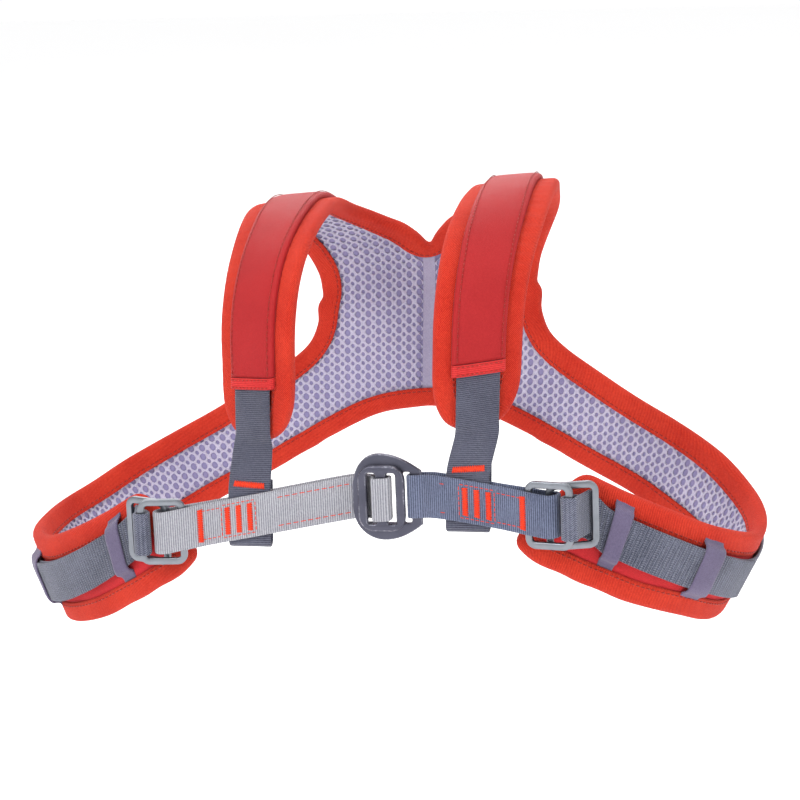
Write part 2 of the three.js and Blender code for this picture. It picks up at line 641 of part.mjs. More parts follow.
// Rings of the adjusters
const ringGeometry = (width) => {
  const bevel = 0.6;
  const outline = (w, h, r, path) => {
    path.moveTo(-w / 2 + r, -h / 2);
    path.lineTo(w / 2 - r, -h / 2);
    path.absarc(w / 2 - r, -h / 2 + r, r, -Math.PI / 2, 0);
    path.lineTo(w / 2, h / 2 - r);
    path.absarc(w / 2 - r, h / 2 - r, r, 0, Math.PI / 2);
    path.lineTo(-w / 2 + r, h / 2);
    path.absarc(-w / 2 + r, h / 2 - r, r, Math.PI / 2, Math.PI);
    path.lineTo(-w / 2, -h / 2 + r);
    path.absarc(-w / 2 + r, -h / 2 + r, r, Math.PI, Math.PI * 1.5);
    return path;
  };
  const shape = outline(width - 2 * bevel, RING_HEIGHT - 2 * bevel, RING_CORNER - bevel, new THREE.Shape());
  const inner = RING_BAR - bevel;
  const hole = outline(width - 2 * inner - 2 * bevel, RING_HEIGHT - 2 * inner - 2 * bevel,
    RING_CORNER - RING_BAR + bevel, new THREE.Path());
  shape.holes.push(hole);
  const geometry = new THREE.ExtrudeGeometry(shape, {
    depth: RING_THICK - 2 * bevel,
    bevelThickness: bevel,
    bevelSize: bevel,
    bevelSegments: 1,
    curveSegments: 2,
  });
  geometry.translate(0, 0, -(RING_THICK - 2 * bevel) / 2);
  geometry.rotateX(Math.PI / 2);
  return geometry;
};

// Places of the ring bars that webbing wraps, for one side
function ringPlaces(side) {
  const bigHalf = (BIG_RING_WIDTH - RING_BAR) / 2;
  const smallHalf = (SMALL_RING_WIDTH - RING_BAR) / 2;
  const bigBar = new THREE.Vector3(BIG_RING_BAR_X, CHEST_PLANE + 1.6, 0);
  const smallBar = new THREE.Vector3(SMALL_RING_BAR_X, CHEST_PLANE - 1.6, 0);
  const bigAhead = new THREE.Vector3(Math.cos(BIG_RING_TURN), Math.sin(BIG_RING_TURN), 0);
  const smallAhead = new THREE.Vector3(Math.cos(SMALL_RING_TURN), -Math.sin(SMALL_RING_TURN), 0);
  const onSide = (p) => settle(new THREE.Vector3(side * p.x + CHEST_SHIFT, p.y, RING_Z));
  const toSide = (p, z) => onSide(p).setZ(z);
  const bigZ = onSide(bigBar).z - BIG_RING_SAG;
  const smallZ = onSide(bigBar).z - SMALL_RING_SAG;
  return {
    bigCentre: toSide(bigBar.clone().addScaledVector(bigAhead, bigHalf), bigZ),
    smallCentre: toSide(smallBar.clone().addScaledVector(smallAhead, smallHalf), smallZ),
    bigOuter: toSide(bigBar.clone().addScaledVector(bigAhead, 2 * bigHalf), bigZ),
    smallOuter: toSide(smallBar.clone().addScaledVector(smallAhead, 2 * smallHalf), smallZ),
  };
}

for (const [name, side] of [["right", 1], ["left", -1]]) {
  const places = ringPlaces(side);
  const big = add(`ring_large_${name}`, ringGeometry(BIG_RING_WIDTH), RING_GREY, 0.35, 0.9);
  big.position.copy(places.bigCentre);
  big.rotation.z = side * BIG_RING_TURN;
  const small = add(`ring_small_${name}`, ringGeometry(SMALL_RING_WIDTH), RING_GREY, 0.35, 0.9);
  small.position.copy(places.smallCentre);
  small.rotation.z = -side * SMALL_RING_TURN;
}

// Torso webbing: round the outside of the wings and the back, its ends threaded through the rings
function torsoEnd(side, leaves) {
  const { bigCentre, smallCentre, bigOuter, smallOuter } = ringPlaces(side);
  const lower = onBand(side, leaves, 0, WEB_LIFT);
  const lowerUp = onBand(side, leaves, 1, WEB_LIFT).sub(lower).normalize();
  const tail = onBand(side, leaves, 0, TAIL_LIFT);
  const z = (bigCentre.z + smallCentre.z) / 2;
  const near = (ring, x, y, height) => new THREE.Vector3(ring.x + side * x, ring.y + y, height);
  const inside = RING_BAR / 2 + WEB_THICK / 2 + 0.8;
  const outside = RING_THICK / 2 + WEB_THICK / 2 + 0.6;
  const points = [
    lower,
    near(bigOuter, -inside * 1.45, 4.9, (lower.z + z * 2) / 3),
    near(smallOuter, -inside, 1.4, z),
    near(smallOuter, -inside, -outside * 0.5, z),
    near(smallOuter, -inside * 0.5, -outside, z),
    near(smallOuter, inside * 0.5, -outside, z),
    near(smallOuter, inside, -outside * 0.5, z),
    near(smallOuter, inside, 1.4, z),
    near(bigOuter, -inside - 0.2, -0.3, z),
    near(bigOuter, -inside + 0.6, 1.9, z),
    near(bigOuter, -0.5, 3.4, (tail.z + z * 2) / 3),
    tail,
  ];
  const turning = lowerUp.clone().lerp(UP, 0.6).normalize();
  const wrapped = Array(8).fill(UP);
  const acrosses = [lowerUp, turning, ...wrapped, turning, lowerUp];
  return ribbonRings(chain(points, acrosses), WEB_WIDTH, WEB_THICK, false, -side).slice(1, -1);
}

function torsoHalf(side) {
  const leaves = side > 0 ? RIGHT_WEB_LEAVES_ROW : LEFT_WEB_LEAVES_ROW;
  const rows = rowsBetween(bandRows, 0, leaves).slice(1);
  const tailRows = rowsBetween(bandRows, TAIL_END_ROW, leaves).reverse();
  const lower = rows.map((row) => webCorners(onBand, side, row, WEB_WIDTH, WEB_LIFT));
  const tail = tailRows.map((row) => webCorners(onBand, side, row, WEB_WIDTH, TAIL_LIFT));
  const turned = tail.map(([a, b, c, d]) => [d, c, b, a]);
  return [...lower, ...torsoEnd(side, leaves), ...turned];
}

const torsoRings = [
  ...torsoHalf(-1).reverse(),
  webCorners(onBand, 1, 0, WEB_WIDTH, WEB_LIFT),
  ...torsoHalf(1),
];
add("torso_webbing", sweep(torsoRings, QUAD_CAP), WEB_BLUE, 0.8);

// Keeper tapes over both plies of the torso webbing
function keeper(side, [from, to]) {
  const half = WEB_WIDTH / 2 + GAP;
  const foot = half + KEEPER_THICK + KEEPER_MARGIN;
  const top = TAIL_LIFT + WEB_THICK / 2 + GAP + KEEPER_THICK;
  const seat = TAPE_TOP + GAP;
  const section = [
    [-foot, seat + KEEPER_THICK],
    [-half - KEEPER_THICK, top],
    [half + KEEPER_THICK, top],
    [foot, seat + KEEPER_THICK],
    [foot, seat],
    [half, top - KEEPER_THICK],
    [-half, top - KEEPER_THICK],
    [-foot, seat],
  ];
  const rows = rowsBetween(bandRows, from, to);
  return sweep(rows.map((row) => section.map(([w, lift]) => onBand(side, row, w, lift))), CHANNEL_CAP);
}

for (const [name, side] of [["right", 1], ["left", -1]]) {
  add(`keeper_front_${name}`, keeper(side, side > 0 ? RIGHT_KEEPER_ROWS : LEFT_KEEPER_ROWS), KEEPER_PURPLE, 0.85);
  const rearRows = side > 0 ? RIGHT_REAR_KEEPER_ROWS : LEFT_REAR_KEEPER_ROWS;
  add(`keeper_rear_${name}`, keeper(side, rearRows), KEEPER_PURPLE, 0.85);
}

// Centre buckle: a rear frame plate and a toggle plate that is slipped through it
const FRAME_BACK = CHEST_PLANE - PLY_SPREAD - WEB_THICK / 2 - 0.6;
const FRAME_FRONT = FRAME_BACK - PLATE_THICK;
const TOGGLE_BACK = FRAME_FRONT - GAP;
const TOGGLE_FRONT = TOGGLE_BACK - TOGGLE_THICK;
const FRAME_BAR = 6;
const FRAME_SIDE = 6;
const SLOT_WIDTH = 4.6;
const FRAME_RIGHT = BUCKLE_X + FRAME_WIDTH / 2;
const SLOT_RIGHT = FRAME_RIGHT - FRAME_BAR;
const TOGGLE_X = FRAME_RIGHT - FRAME_BAR - WEB_THICK - 1 - TOGGLE_WIDTH / 2;
const WINDOW_HEIGHT = WEB_WIDTH + 4.6;

function roundedPath(path, x0, x1, z0, z1, r) {
  path.moveTo(x0 + r, z0);
  path.lineTo(x1 - r, z0);
  path.absarc(x1 - r, z0 + r, r, -Math.PI / 2, 0);
  path.lineTo(x1, z1 - r);
  path.absarc(x1 - r, z1 - r, r, 0, Math.PI / 2);
  path.lineTo(x0 + r, z1);
  path.absarc(x0 + r, z1 - r, r, Math.PI / 2, Math.PI);
  path.lineTo(x0, z0 + r);
  path.absarc(x0 + r, z0 + r, r, Math.PI, Math.PI * 1.5);
  return path;
}

// A plate drawn in its own X and Z about a centre, from its back face towards the viewer
function plate(shape, back, thick, bevel) {
  const geometry = new THREE.ExtrudeGeometry(shape, {
    depth: thick - 2 * bevel,
    bevelThickness: bevel,
    bevelSize: bevel,
    bevelOffset: -bevel,
    bevelSegments: 1,
    curveSegments: 3,
  });
  geometry.translate(0, 0, bevel);
  geometry.rotateX(Math.PI / 2);
  geometry.translate(0, back, 0);
  return geometry;
}

const w = FRAME_WIDTH / 2;
const h = FRAME_HEIGHT / 2;
const frameShape = new THREE.Shape();
frameShape.moveTo(-w, h * 0.24);
frameShape.lineTo(-w, -h * 0.24);
frameShape.bezierCurveTo(-w, -h * 0.7, -w * 0.6, -h, -w * 0.1, -h);
frameShape.bezierCurveTo(w * 0.35, -h, w * 0.75, -h * 0.78, w, -h * 0.62);
frameShape.lineTo(w, h * 0.62);
frameShape.bezierCurveTo(w * 0.7, h * 0.78, w * 0.3, h, -w * 0.2, h);
frameShape.bezierCurveTo(-w * 0.65, h, -w * 0.95, h * 0.7, -w, h * 0.24);
const slotLeft = SLOT_RIGHT - SLOT_WIDTH - BUCKLE_X;
const openHalf = WINDOW_HEIGHT / 2;
frameShape.holes.push(roundedPath(new THREE.Path(), -w + FRAME_SIDE, slotLeft - 2.4, -openHalf, openHalf, 3));
frameShape.holes.push(roundedPath(new THREE.Path(), slotLeft, SLOT_RIGHT - BUCKLE_X, -openHalf, openHalf, 1.6));
const frameMesh = add("buckle_frame", plate(frameShape, FRAME_BACK, PLATE_THICK, 0.5), BUCKLE_DARK, 0.45, 0.6);
const buckleSeat = settle(new THREE.Vector3(BUCKLE_X, CHEST_PLANE, BUCKLE_Z)).setY(0);
frameMesh.position.copy(buckleSeat);

const toggleHalf = TOGGLE_WIDTH / 2;
const toggleTall = TOGGLE_HEIGHT / 2;
const toggleShape = roundedPath(new THREE.Shape(), -toggleHalf, toggleHalf, -toggleTall, toggleTall,
  TOGGLE_CORNER);
const TOGGLE_SIDE = 5.2;
const barHalf = TOGGLE_BAR / 2;
const holeBottom = -openHalf;
for (const [x0, x1] of [[-toggleHalf + TOGGLE_SIDE, -barHalf], [barHalf, toggleHalf - TOGGLE_SIDE]]) {
  toggleShape.holes.push(roundedPath(new THREE.Path(), x0, x1, holeBottom, openHalf, 1.5));
}
const toggleMesh = add("buckle_toggle", plate(toggleShape, TOGGLE_BACK, TOGGLE_THICK, 0.8), BUCKLE_DARK, 0.4, 0.6);
toggleMesh.position.copy(buckleSeat).add(new THREE.Vector3(TOGGLE_X - BUCKLE_X, 0, 0));

// Chest straps: closed loops of two plies in plan
function chestLoop(planPoints) {
  const points = planPoints.map(([x, y]) => settle(new THREE.Vector3(x, y, chestZ(x))));
  const rings = ribbonRings(chain(points, points.map(() => UP), true), WEB_WIDTH, WEB_THICK, true);
  return solid(rings.flat(), tubeFaces(rings.length, 4, true));
}

// The round fold at the rings, from the back ply to the front ply
function ringFold(side) {
  const centre = side * (BIG_RING_BAR_X + 0.6) + CHEST_SHIFT;
  return Array.from({ length: FOLD_STEPS / 2 + 1 }, (_, i) => {
    const angle = Math.PI * (i / (FOLD_STEPS / 2) - 0.5);
    return [centre + side * FOLD_SPREAD * Math.cos(angle), CHEST_PLANE - FOLD_SPREAD * Math.sin(angle)];
  });
}

const frontPly = CHEST_PLANE - PLY_SPREAD;
const backPly = CHEST_PLANE + PLY_SPREAD;
const smallBarX = (side) => side * SMALL_RING_BAR_X + CHEST_SHIFT;
const frameLeft = BUCKLE_X - FRAME_WIDTH / 2;

// Three points of a webbing's centre line round the edge of a bar, from its side to its face
function barCorner(x, y, sideways, faceways) {
  const turn = WEB_THICK / 2 + GAP;
  return [
    [x + sideways * (turn + 0.2), y - faceways * 0.2],
    [x + sideways * turn * 0.82, y + faceways * turn * 0.82],
    [x - sideways * 0.3, y + faceways * (turn + 0.3)],
  ];
}

const barLeft = TOGGLE_X - TOGGLE_BAR / 2;
const barRight = TOGGLE_X + TOGGLE_BAR / 2;
const silverPath = [
  ...ringFold(-1),
  [smallBarX(-1), frontPly - 1.9],
  [smallBarX(-1) + 16, frontPly - 0.2],
  [smallBarX(-1) + 50, frontPly],
  [frameLeft - STRAP_LEAD, frontPly],
  [frameLeft + 2, frontPly],
  [frameLeft + FRAME_SIDE + 1, frontPly - 0.2],
  [barLeft - 3.4, frontPly - 2.6],
  [barLeft - 1.9, (frontPly + TOGGLE_FRONT) / 2 - 0.6],
  ...barCorner(barLeft, TOGGLE_FRONT, -1, -1),
  ...barCorner(barRight, TOGGLE_FRONT, 1, -1).reverse(),
  ...barCorner(barRight, TOGGLE_BACK, 1, 1),
  [barLeft + 1.7, frontPly - 1.2],
  [barLeft - 3.3, backPly - 4.4],
  [frameLeft + 2, backPly - 1.4],
  [frameLeft - 4, backPly],
  [smallBarX(-1) + 50, backPly],
  [smallBarX(-1) + 16, backPly + 0.2],
  [smallBarX(-1), backPly + 1.6],
];
add("chest_webbing_left", chestLoop(silverPath), WEB_SILVER, 0.7);

const bluePath = [
  ...ringFold(1),
  [smallBarX(1), frontPly - 1.9],
  [smallBarX(1) - 16, frontPly - 0.2],
  [smallBarX(1) - 40, frontPly - 0.2],
  [FRAME_RIGHT + 5, frontPly - 2.6],
  [FRAME_RIGHT - 1, FRAME_FRONT - WEB_THICK / 2 - GAP * 2],
  ...barCorner(SLOT_RIGHT, FRAME_FRONT, -1, -1).reverse(),
  ...barCorner(SLOT_RIGHT, FRAME_BACK, -1, 1),
  [FRAME_RIGHT, FRAME_BACK + WEB_THICK / 2 + GAP * 2 + 0.6],
  [FRAME_RIGHT + 6, backPly - 1],
  [smallBarX(1) - 40, backPly],
  [smallBarX(1) - 16, backPly + 0.2],
  [smallBarX(1), backPly + 1.6],
];
add("chest_webbing_right", chestLoop(bluePath), WEB_BLUE, 0.7);

export default group;
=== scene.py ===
import math

import bmesh
import bpy
import numpy as np
from mathutils import Matrix, Vector


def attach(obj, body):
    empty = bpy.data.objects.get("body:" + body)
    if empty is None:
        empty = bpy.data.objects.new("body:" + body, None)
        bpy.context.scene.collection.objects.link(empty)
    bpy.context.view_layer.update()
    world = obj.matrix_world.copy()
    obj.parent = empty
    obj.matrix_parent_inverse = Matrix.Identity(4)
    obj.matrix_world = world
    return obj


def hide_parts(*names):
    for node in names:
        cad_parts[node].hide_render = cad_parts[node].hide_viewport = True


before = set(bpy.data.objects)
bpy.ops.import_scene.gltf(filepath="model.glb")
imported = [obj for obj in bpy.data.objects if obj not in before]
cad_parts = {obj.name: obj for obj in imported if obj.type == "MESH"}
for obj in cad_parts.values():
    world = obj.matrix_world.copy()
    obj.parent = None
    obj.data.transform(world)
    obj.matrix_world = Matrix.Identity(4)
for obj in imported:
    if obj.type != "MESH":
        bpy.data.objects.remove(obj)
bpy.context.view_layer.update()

# Camera and studio
# A long lens a little to the right of the harness and above it, turned slightly about its own axis.
# Soft white panels light the harness from the front and from above, over a plain pale floor.
CAMERA_TURN = math.radians(13.55)
CAMERA_RISE = math.radians(12.79)
CAMERA_ROLL = math.radians(-2.27)
CAMERA_REACH = 1.6
CAMERA_AIM = np.array([0, 0, -0.129])
CAMERA_LENS = 118.94
CAMERA_SHIFT = (-0.0039, 0.0207)
FLOOR_LEVEL = -0.33
FLOOR_REACH = 6.0
STUDIO_SHARE = 0.92
PANELS = [
    # name, place in metres, size in metres, power in watts
    ("front_panel", (-0.9, -1.8, 1.1), 1.1, 32),
    ("side_panel", (1.7, -0.9, 0.7), 1.0, 12),
    ("top_panel", (0.1, 0.3, 1.9), 1.4, 22),
    ("rear_panel", (-0.6, 1.8, 0.9), 1.4, 12),
]
PANEL_AIM = Vector((0, 0, -0.12))


def added(name, data):
    """A new object in the scene."""
    made = bpy.data.objects.new(name, data)
    bpy.context.scene.collection.objects.link(made)
    return made


camera_back = np.array([
    math.sin(CAMERA_TURN) * math.cos(CAMERA_RISE),
    -math.cos(CAMERA_TURN) * math.cos(CAMERA_RISE),
    math.sin(CAMERA_RISE),
])
level_right = np.array([math.cos(CAMERA_TURN), math.sin(CAMERA_TURN), 0])
level_up = np.cross(camera_back, level_right)
camera_right = math.cos(CAMERA_ROLL) * level_right + math.sin(CAMERA_ROLL) * level_up
camera_up = math.cos(CAMERA_ROLL) * level_up - math.sin(CAMERA_ROLL) * level_right
camera = added("camera", bpy.data.cameras.new("camera"))
camera.data.lens = CAMERA_LENS
camera.data.shift_x, camera.data.shift_y = CAMERA_SHIFT
camera_place = CAMERA_AIM + CAMERA_REACH * camera_back
camera.matrix_world = Matrix([
    [*np.array([camera_right, camera_up, camera_back])[:, axis], camera_place[axis]] for axis in range(3)
] + [[0, 0, 0, 1]])
bpy.context.scene.camera = camera

for panel_name, panel_place, panel_size, panel_power in PANELS:
    panel = added(panel_name, bpy.data.lights.new(panel_name, "AREA"))
    panel.data.size = panel_size
    panel.data.energy = panel_power
    panel.location = panel_place
    toward = PANEL_AIM - panel.location
    panel.rotation_euler = toward.to_track_quat("-Z", "Y").to_euler()

bpy.context.scene.view_settings.view_transform = "Standard"


def node(tree, kind, *inputs, **settings):
    """One shader node: a socket among the inputs is linked, a number or a colour is set."""
    made = tree.nodes.new("ShaderNode" + kind)
    for key, value in settings.items():
        setattr(made, key, value)
    for socket, value in zip(made.inputs, inputs):
        if isinstance(value, bpy.types.NodeSocket):
            tree.links.new(value, socket)
        elif value is not None:
            socket.default_value = value
    return made


def maths(tree, operation, *inputs):
    """The outcome of one operation on numbers."""
    return node(tree, "Math", *inputs, operation=operation).outputs[0]


def studio_room():
    """A white wall behind the harness and darker walls elsewhere, which give metal something to mirror: the
    strength rises from about half in front to full behind, along the direction's share of +Y."""
    world = bpy.data.worlds.new("studio")
    world.use_nodes = True
    tree = world.node_tree
    behind = node(tree, "SeparateXYZ", node(tree, "TexCoord").outputs["Generated"]).outputs[1]
    share = node(tree, "Clamp", maths(tree, "MULTIPLY_ADD", behind, 1.8, 0.1)).outputs[0]
    strength = maths(tree, "MULTIPLY_ADD", share, 0.5, 0.52)
    tree.links.new(strength, tree.nodes["Background"].inputs["Strength"])
    tree.nodes["Background"].inputs["Color"].default_value = (1, 1, 1, 1)
    return world


bpy.context.scene.world = studio_room()


def shader_of(name, roughness, metallic=0.0, sheen=0.0, gloss=0.5):
    """A new material with its uniform values set on the shader itself, and its tree and shader."""
    material = bpy.data.materials.new(name)
    material.use_nodes = True
    shader = material.node_tree.nodes["Principled BSDF"]
    shader.inputs["Roughness"].default_value = roughness
    shader.inputs["Metallic"].default_value = metallic
    shader.inputs["Sheen Weight"].default_value = sheen
    shader.inputs["Sheen Roughness"].default_value = 0.4
    shader.inputs["Specular IOR Level"].default_value = gloss
    return material, material.node_tree, shader


def color(red, green, blue):
    """A colour as it looks in the bright studio, given in the usual 0 to 255 steps, as the linear values
    that a shader takes: those of the look, times the share that undoes the studio's brightness."""
    steps = np.array([red, green, blue]) / 255
    linear = np.where(steps <= 0.04045, steps / 12.92, ((steps + 0.055) / 1.055) ** 2.4)
    return (*(linear * STUDIO_SHARE), 1.0)


def noise(tree, spot, scale, detail, rough=0.5):
    """Cloudy values from 0 to 1 at the spots given, so many to the metre."""
    return node(tree, "TexNoise", spot, None, scale, detail, rough).outputs["Fac"]


def floor_finish():
    """A pale painted floor: white with a faint cloudy tone, lit a little from within like a light table."""
    material, tree, shader = shader_of("floor_paint", 0.9)
    shader.inputs["Emission Color"].default_value = (1, 1, 1, 1)
    shader.inputs["Emission Strength"].default_value = 0.3
    cloud = noise(tree, node(tree, "TexCoord").outputs["Object"], 1.5, 3.0)
    tone = node(tree, "MixRGB", cloud, (0.93, 0.93, 0.935, 1), (0.96, 0.96, 0.965, 1)).outputs[0]
    tree.links.new(tone, shader.inputs["Base Color"])
    return material


floor_mesh = bpy.data.meshes.new("floor")
floor_corners = [
    (x * FLOOR_REACH, y * FLOOR_REACH, FLOOR_LEVEL) for x, y in ((-1, -1), (1, -1), (1, 1), (-1, 1))
]
floor_mesh.from_pydata(floor_corners, [], [(0, 1, 2, 3)])
floor_mesh.materials.append(floor_finish())
floor = added("floor", floor_mesh)

# Pad shells
# Each half of the yoke is a thin foam pad under red cloth, from the middle of the back round the side to
# the wing's tip, with a strap over the shoulder. It is cut to a pattern and lies on the form of a chest.
# The pattern is measured around the chest from the back's centre, and along it upwards over the shoulder.
HALF_WIDTH = 222
HALF_DEPTH = 100
PLAN_POWER = 2.3
ARCH_RISE = 64
ARCH_POWER = 2.2
SEAT_DEPTH = 11
SIDE_DROP = 206
SIDE_LEAN = 0.48
STRAP_YAW = math.radians(18)
SWAY = 0.046
STRAP_SWAY = 8
SIDE_TILT = 0.006
CHEST_TILT = 0.065
BACK_TILT = 0.035
SHOULDER_TILT = 0.08
TILT_FADE = (-150, -60)
SPRING_Z = -(ARCH_RISE + SEAT_DEPTH)
LINING_THICK = 1.5
LAYER_GAP = 0.3
SHELL_BASE = LINING_THICK + LAYER_GAP
SHELL_RIM = 2.7
SHELL_FULL = 5
PUFF_START = 8
PUFF_WIDTH = 15
SEAM_GAP = 0.3
PAD_STEP = 2.4
PAD_COLUMNS = 28
BAND_COLUMNS = 33
STRAP_END_STEPS = 8
TIP_STEPS = 3
SIDES = (("right", 1), ("left", -1))

# One row for each cross line of the band, from the back's centre to the wing's tip: the two ends as shares
# of the half girth and of the side drop, and the share of the row at which the torso webbing runs
BAND = np.array([
    # top around, top drop, low around, low drop, webbing
    (0, 0.262, 0, 0.748, 0.26),
    (0.0612, 0.316, 0.062, 0.77, 0.3),
    (0.1237, 0.388, 0.122, 0.84, 0.31),
    (0.13, 0.471, 0.137, 0.864, 0.36),
    (0.1395, 0.536, 0.15, 0.881, 0.41),
    (0.158, 0.587, 0.164, 0.9, 0.455),
    (0.185, 0.638, 0.181, 0.925, 0.5),
    (0.2418, 0.733, 0.213, 0.966, 0.53),
    (0.29, 0.799, 0.255, 1.016, 0.54),
    (0.349, 0.874, 0.31, 1.085, 0.54),
    (0.413, 0.951, 0.385, 1.16, 0.54),
    (0.484, 0.995, 0.47, 1.21, 0.54),
    (0.545, 0.995, 0.55, 1.23, 0.53),
    (0.612, 0.961, 0.622, 1.196, 0.54),
    (0.666, 0.905, 0.69, 1.145, 0.57),
    (0.7155, 0.842, 0.731, 1.096, 0.59),
    (0.74, 0.805, 0.753, 1.07, 0.61),
    (0.759, 0.781, 0.773, 1.04, 0.66),
    (0.776, 0.811, 0.789, 1.02, 0.66),
    (0.795, 0.866, 0.802, 1.0, 0.66),
    (0.811, 0.908, 0.813, 0.975, 0.66),
    (0.8195, 0.934, 0.8195, 0.956, 0.66),
])
ROOT_ROW = 2
TIP_ROW = len(BAND) - 1

# One row for each cross line of the strap, from the yoke to its front end, as shares of the half girth
# and of the arch over the shoulder
STRAP = np.array([
    # neck around, neck along, arm around, arm along
    (0, 0.0825, 0.1237, -0.0191),
    (0.0125, 0.118, 0.1265, 0.0319),
    (0.028, 0.1557, 0.132, 0.0695),
    (0.0433, 0.1822, 0.139, 0.1087),
    (0.0596, 0.2222, 0.148, 0.1621),
    (0.073, 0.2699, 0.1535, 0.2128),
    (0.078, 0.3293, 0.1575, 0.2892),
    (0.079, 0.4114, 0.1615, 0.3917),
    (0.0785, 0.5, 0.1625, 0.5),
    (0.0765, 0.6475, 0.1605, 0.6475),
    (0.0745, 0.7919, 0.1585, 0.7919),
    (0.0735, 1, 0.1565, 1),
    (0.074, 1.1007, 0.156, 1.1007),
    (0.079, 1.1453, 0.151, 1.1453),
    (0.088, 1.175, 0.142, 1.175),
    (0.101, 1.1898, 0.129, 1.1898),
])
END_ROW = len(STRAP) - 1


def unit(vectors):
    """The vectors at length one."""
    return vectors / np.maximum(np.linalg.norm(vectors, axis=-1, keepdims=True), 1e-9)


def ease(value):
    """A smooth step from 0 to 1."""
    t = np.clip(value, 0, 1)
    return t * t * (3 - 2 * t)


def lengths_along(points):
    """The length walked along a line of points, at each point."""
    return np.concatenate([[0], np.cumsum(np.linalg.norm(np.diff(points, axis=0), axis=1))])


def walk(side_reach, end_reach, power):
    """Half a superellipse from its top end round one side to its bottom end, with the length walked: its
    coordinates are the sine and the cosine of an angle, each to the power of 2 over the given power."""
    angle = np.linspace(0, np.pi, 9001)
    side = side_reach * np.clip(np.sin(angle), 0, 1) ** (2 / power)
    end = end_reach * np.sign(np.cos(angle)) * np.abs(np.cos(angle)) ** (2 / power)
    return lengths_along(np.stack([side, end], -1)), side, end


PLAN = walk(HALF_WIDTH, HALF_DEPTH, PLAN_POWER)
OVER = walk(ARCH_RISE, HALF_DEPTH, ARCH_POWER)
GIRTH = PLAN[0][-1]
ARCH = OVER[0][-1]
STRAP_CENTRE = (STRAP[-1, 0] + STRAP[-1, 2]) / 2 * GIRTH


def body(around, along):
    """The form of the chest: the plan's point at that length around, drawn in by the arch's depth at that
    length along, at the arch's height, with sides that lean out towards the top."""
    x = np.interp(np.abs(around), PLAN[0], PLAN[1])
    y = np.interp(np.abs(around), PLAN[0], PLAN[2])
    on_arch = np.clip(along, 0, ARCH)
    rise = np.interp(on_arch, OVER[0], OVER[1])
    depth = np.interp(on_arch, OVER[0], OVER[2])
    z = SPRING_Z + rise + np.where(along < 0, along, np.minimum(0, ARCH - along))
    lean = SIDE_LEAN * (z + SIDE_DROP) * (x / HALF_WIDTH) ** 3
    return np.stack([np.sign(around) * (x + lean), y * depth / HALF_DEPTH, z], -1)


def turned(around, along):
    """The chest form with each strap's front shifted to the right and turned outwards about its middle."""
    side = np.where(around < 0, -1, 1)
    shift = STRAP_SWAY * ease((along / ARCH - 0.25) / 0.5)[..., None] * np.array([1, 0, 0])
    centre = body(side * STRAP_CENTRE, along)
    axis = unit(body(side * STRAP_CENTRE, along + 1) - body(side * STRAP_CENTRE, along - 1))
    angle = (-side * STRAP_YAW * ease((along / ARCH - 0.5) / 0.4))[..., None]
    arm = body(around, along) - centre
    level = (axis * arm).sum(-1, keepdims=True) * (1 - np.cos(angle))
    return centre + arm * np.cos(angle) + np.cross(axis, arm) * np.sin(angle) + axis * level + shift


def settle(points):
    """The worn harness hangs slightly askew: points shift sideways with height, and rise with their x. The
    rise is least low down at the sides, greater at the back and the chest, and most at the shoulders."""
    depth = -points[..., 1] / HALF_DEPTH
    low = SIDE_TILT + (CHEST_TILT - SIDE_TILT) * ease(depth) + (BACK_TILT - SIDE_TILT) * ease(-depth)
    fade = ease((points[..., 2] - TILT_FADE[0]) / (TILT_FADE[1] - TILT_FADE[0]))
    tilt = low + (SHOULDER_TILT - low) * fade
    x = points[..., 0] + SWAY * points[..., 2]
    return np.stack([x, points[..., 1], points[..., 2] + tilt * x + SEAT_DEPTH], -1)


def lifted(around, along, lift):
    """A pattern point raised off the chest form by its own normal, which is the cross product of the
    form's two directions there."""
    around, along, lift = np.broadcast_arrays(around * 1.0, along * 1.0, lift * 1.0)
    shift = 0.8
    side = np.where(around < 0, -1, 1)
    near = np.maximum(np.abs(around), shift)
    across_form = turned(side * (near + shift), along) - turned(side * (near - shift), along)
    up_form = turned(side * near, along + shift) - turned(side * near, along - shift)
    normal = np.cross(up_form, across_form) * side[..., None]
    normal[..., 0] *= ease(np.abs(around) / 6)
    return turned(around, along) + unit(normal) * lift[..., None]


def place(around, along, lift):
    """A pattern point in the finished harness."""
    return settle(lifted(around, along, lift))


def cubic(t, start, end, start_slope, end_slope):
    """The curve of third degree between two values that has the given slopes at its ends, at share t."""
    first = (2 * t**3 - 3 * t**2 + 1) * start + (t**3 - 2 * t**2 + t) * start_slope
    return first + (3 * t**2 - 2 * t**3) * end + (t**3 - t**2) * end_slope


def read(column, rows):
    """A column of a table at fractional rows, on the smooth curve whose slope at each row is that between
    its two neighbours."""
    first = np.clip(np.floor(rows).astype(int), 0, len(column) - 2)
    slopes = np.gradient(column)
    return cubic(rows - first, column[first], column[first + 1], slopes[first], slopes[first + 1])


def band_line(rows):
    """The low and the top end of the band's cross lines, in pattern millimetres."""
    along = [-read(BAND[:, drop], rows) * SIDE_DROP - SPRING_Z for drop in (3, 1)]
    around = [read(BAND[:, column], rows) * GIRTH for column in (2, 0)]
    return [np.stack(pair, -1) for pair in zip(around, along)]


def strap_line(rows):
    """The neck end and the arm end of the strap's cross lines, in pattern millimetres."""
    around = [read(STRAP[:, column], rows) * GIRTH for column in (0, 2)]
    along = [read(STRAP[:, column], rows) * ARCH for column in (1, 3)]
    return [np.stack(pair, -1) for pair in zip(around, along)]


def even_rows(line, start, end, step):
    """Rows from start to end whose middles lie about one step apart."""
    rows = np.linspace(start, end, 3000)
    walked = lengths_along(sum(line(rows)) / 2)
    count = max(2, round(walked[-1] / step) + 1)
    return np.interp(np.linspace(0, walked[-1], count), walked, rows)


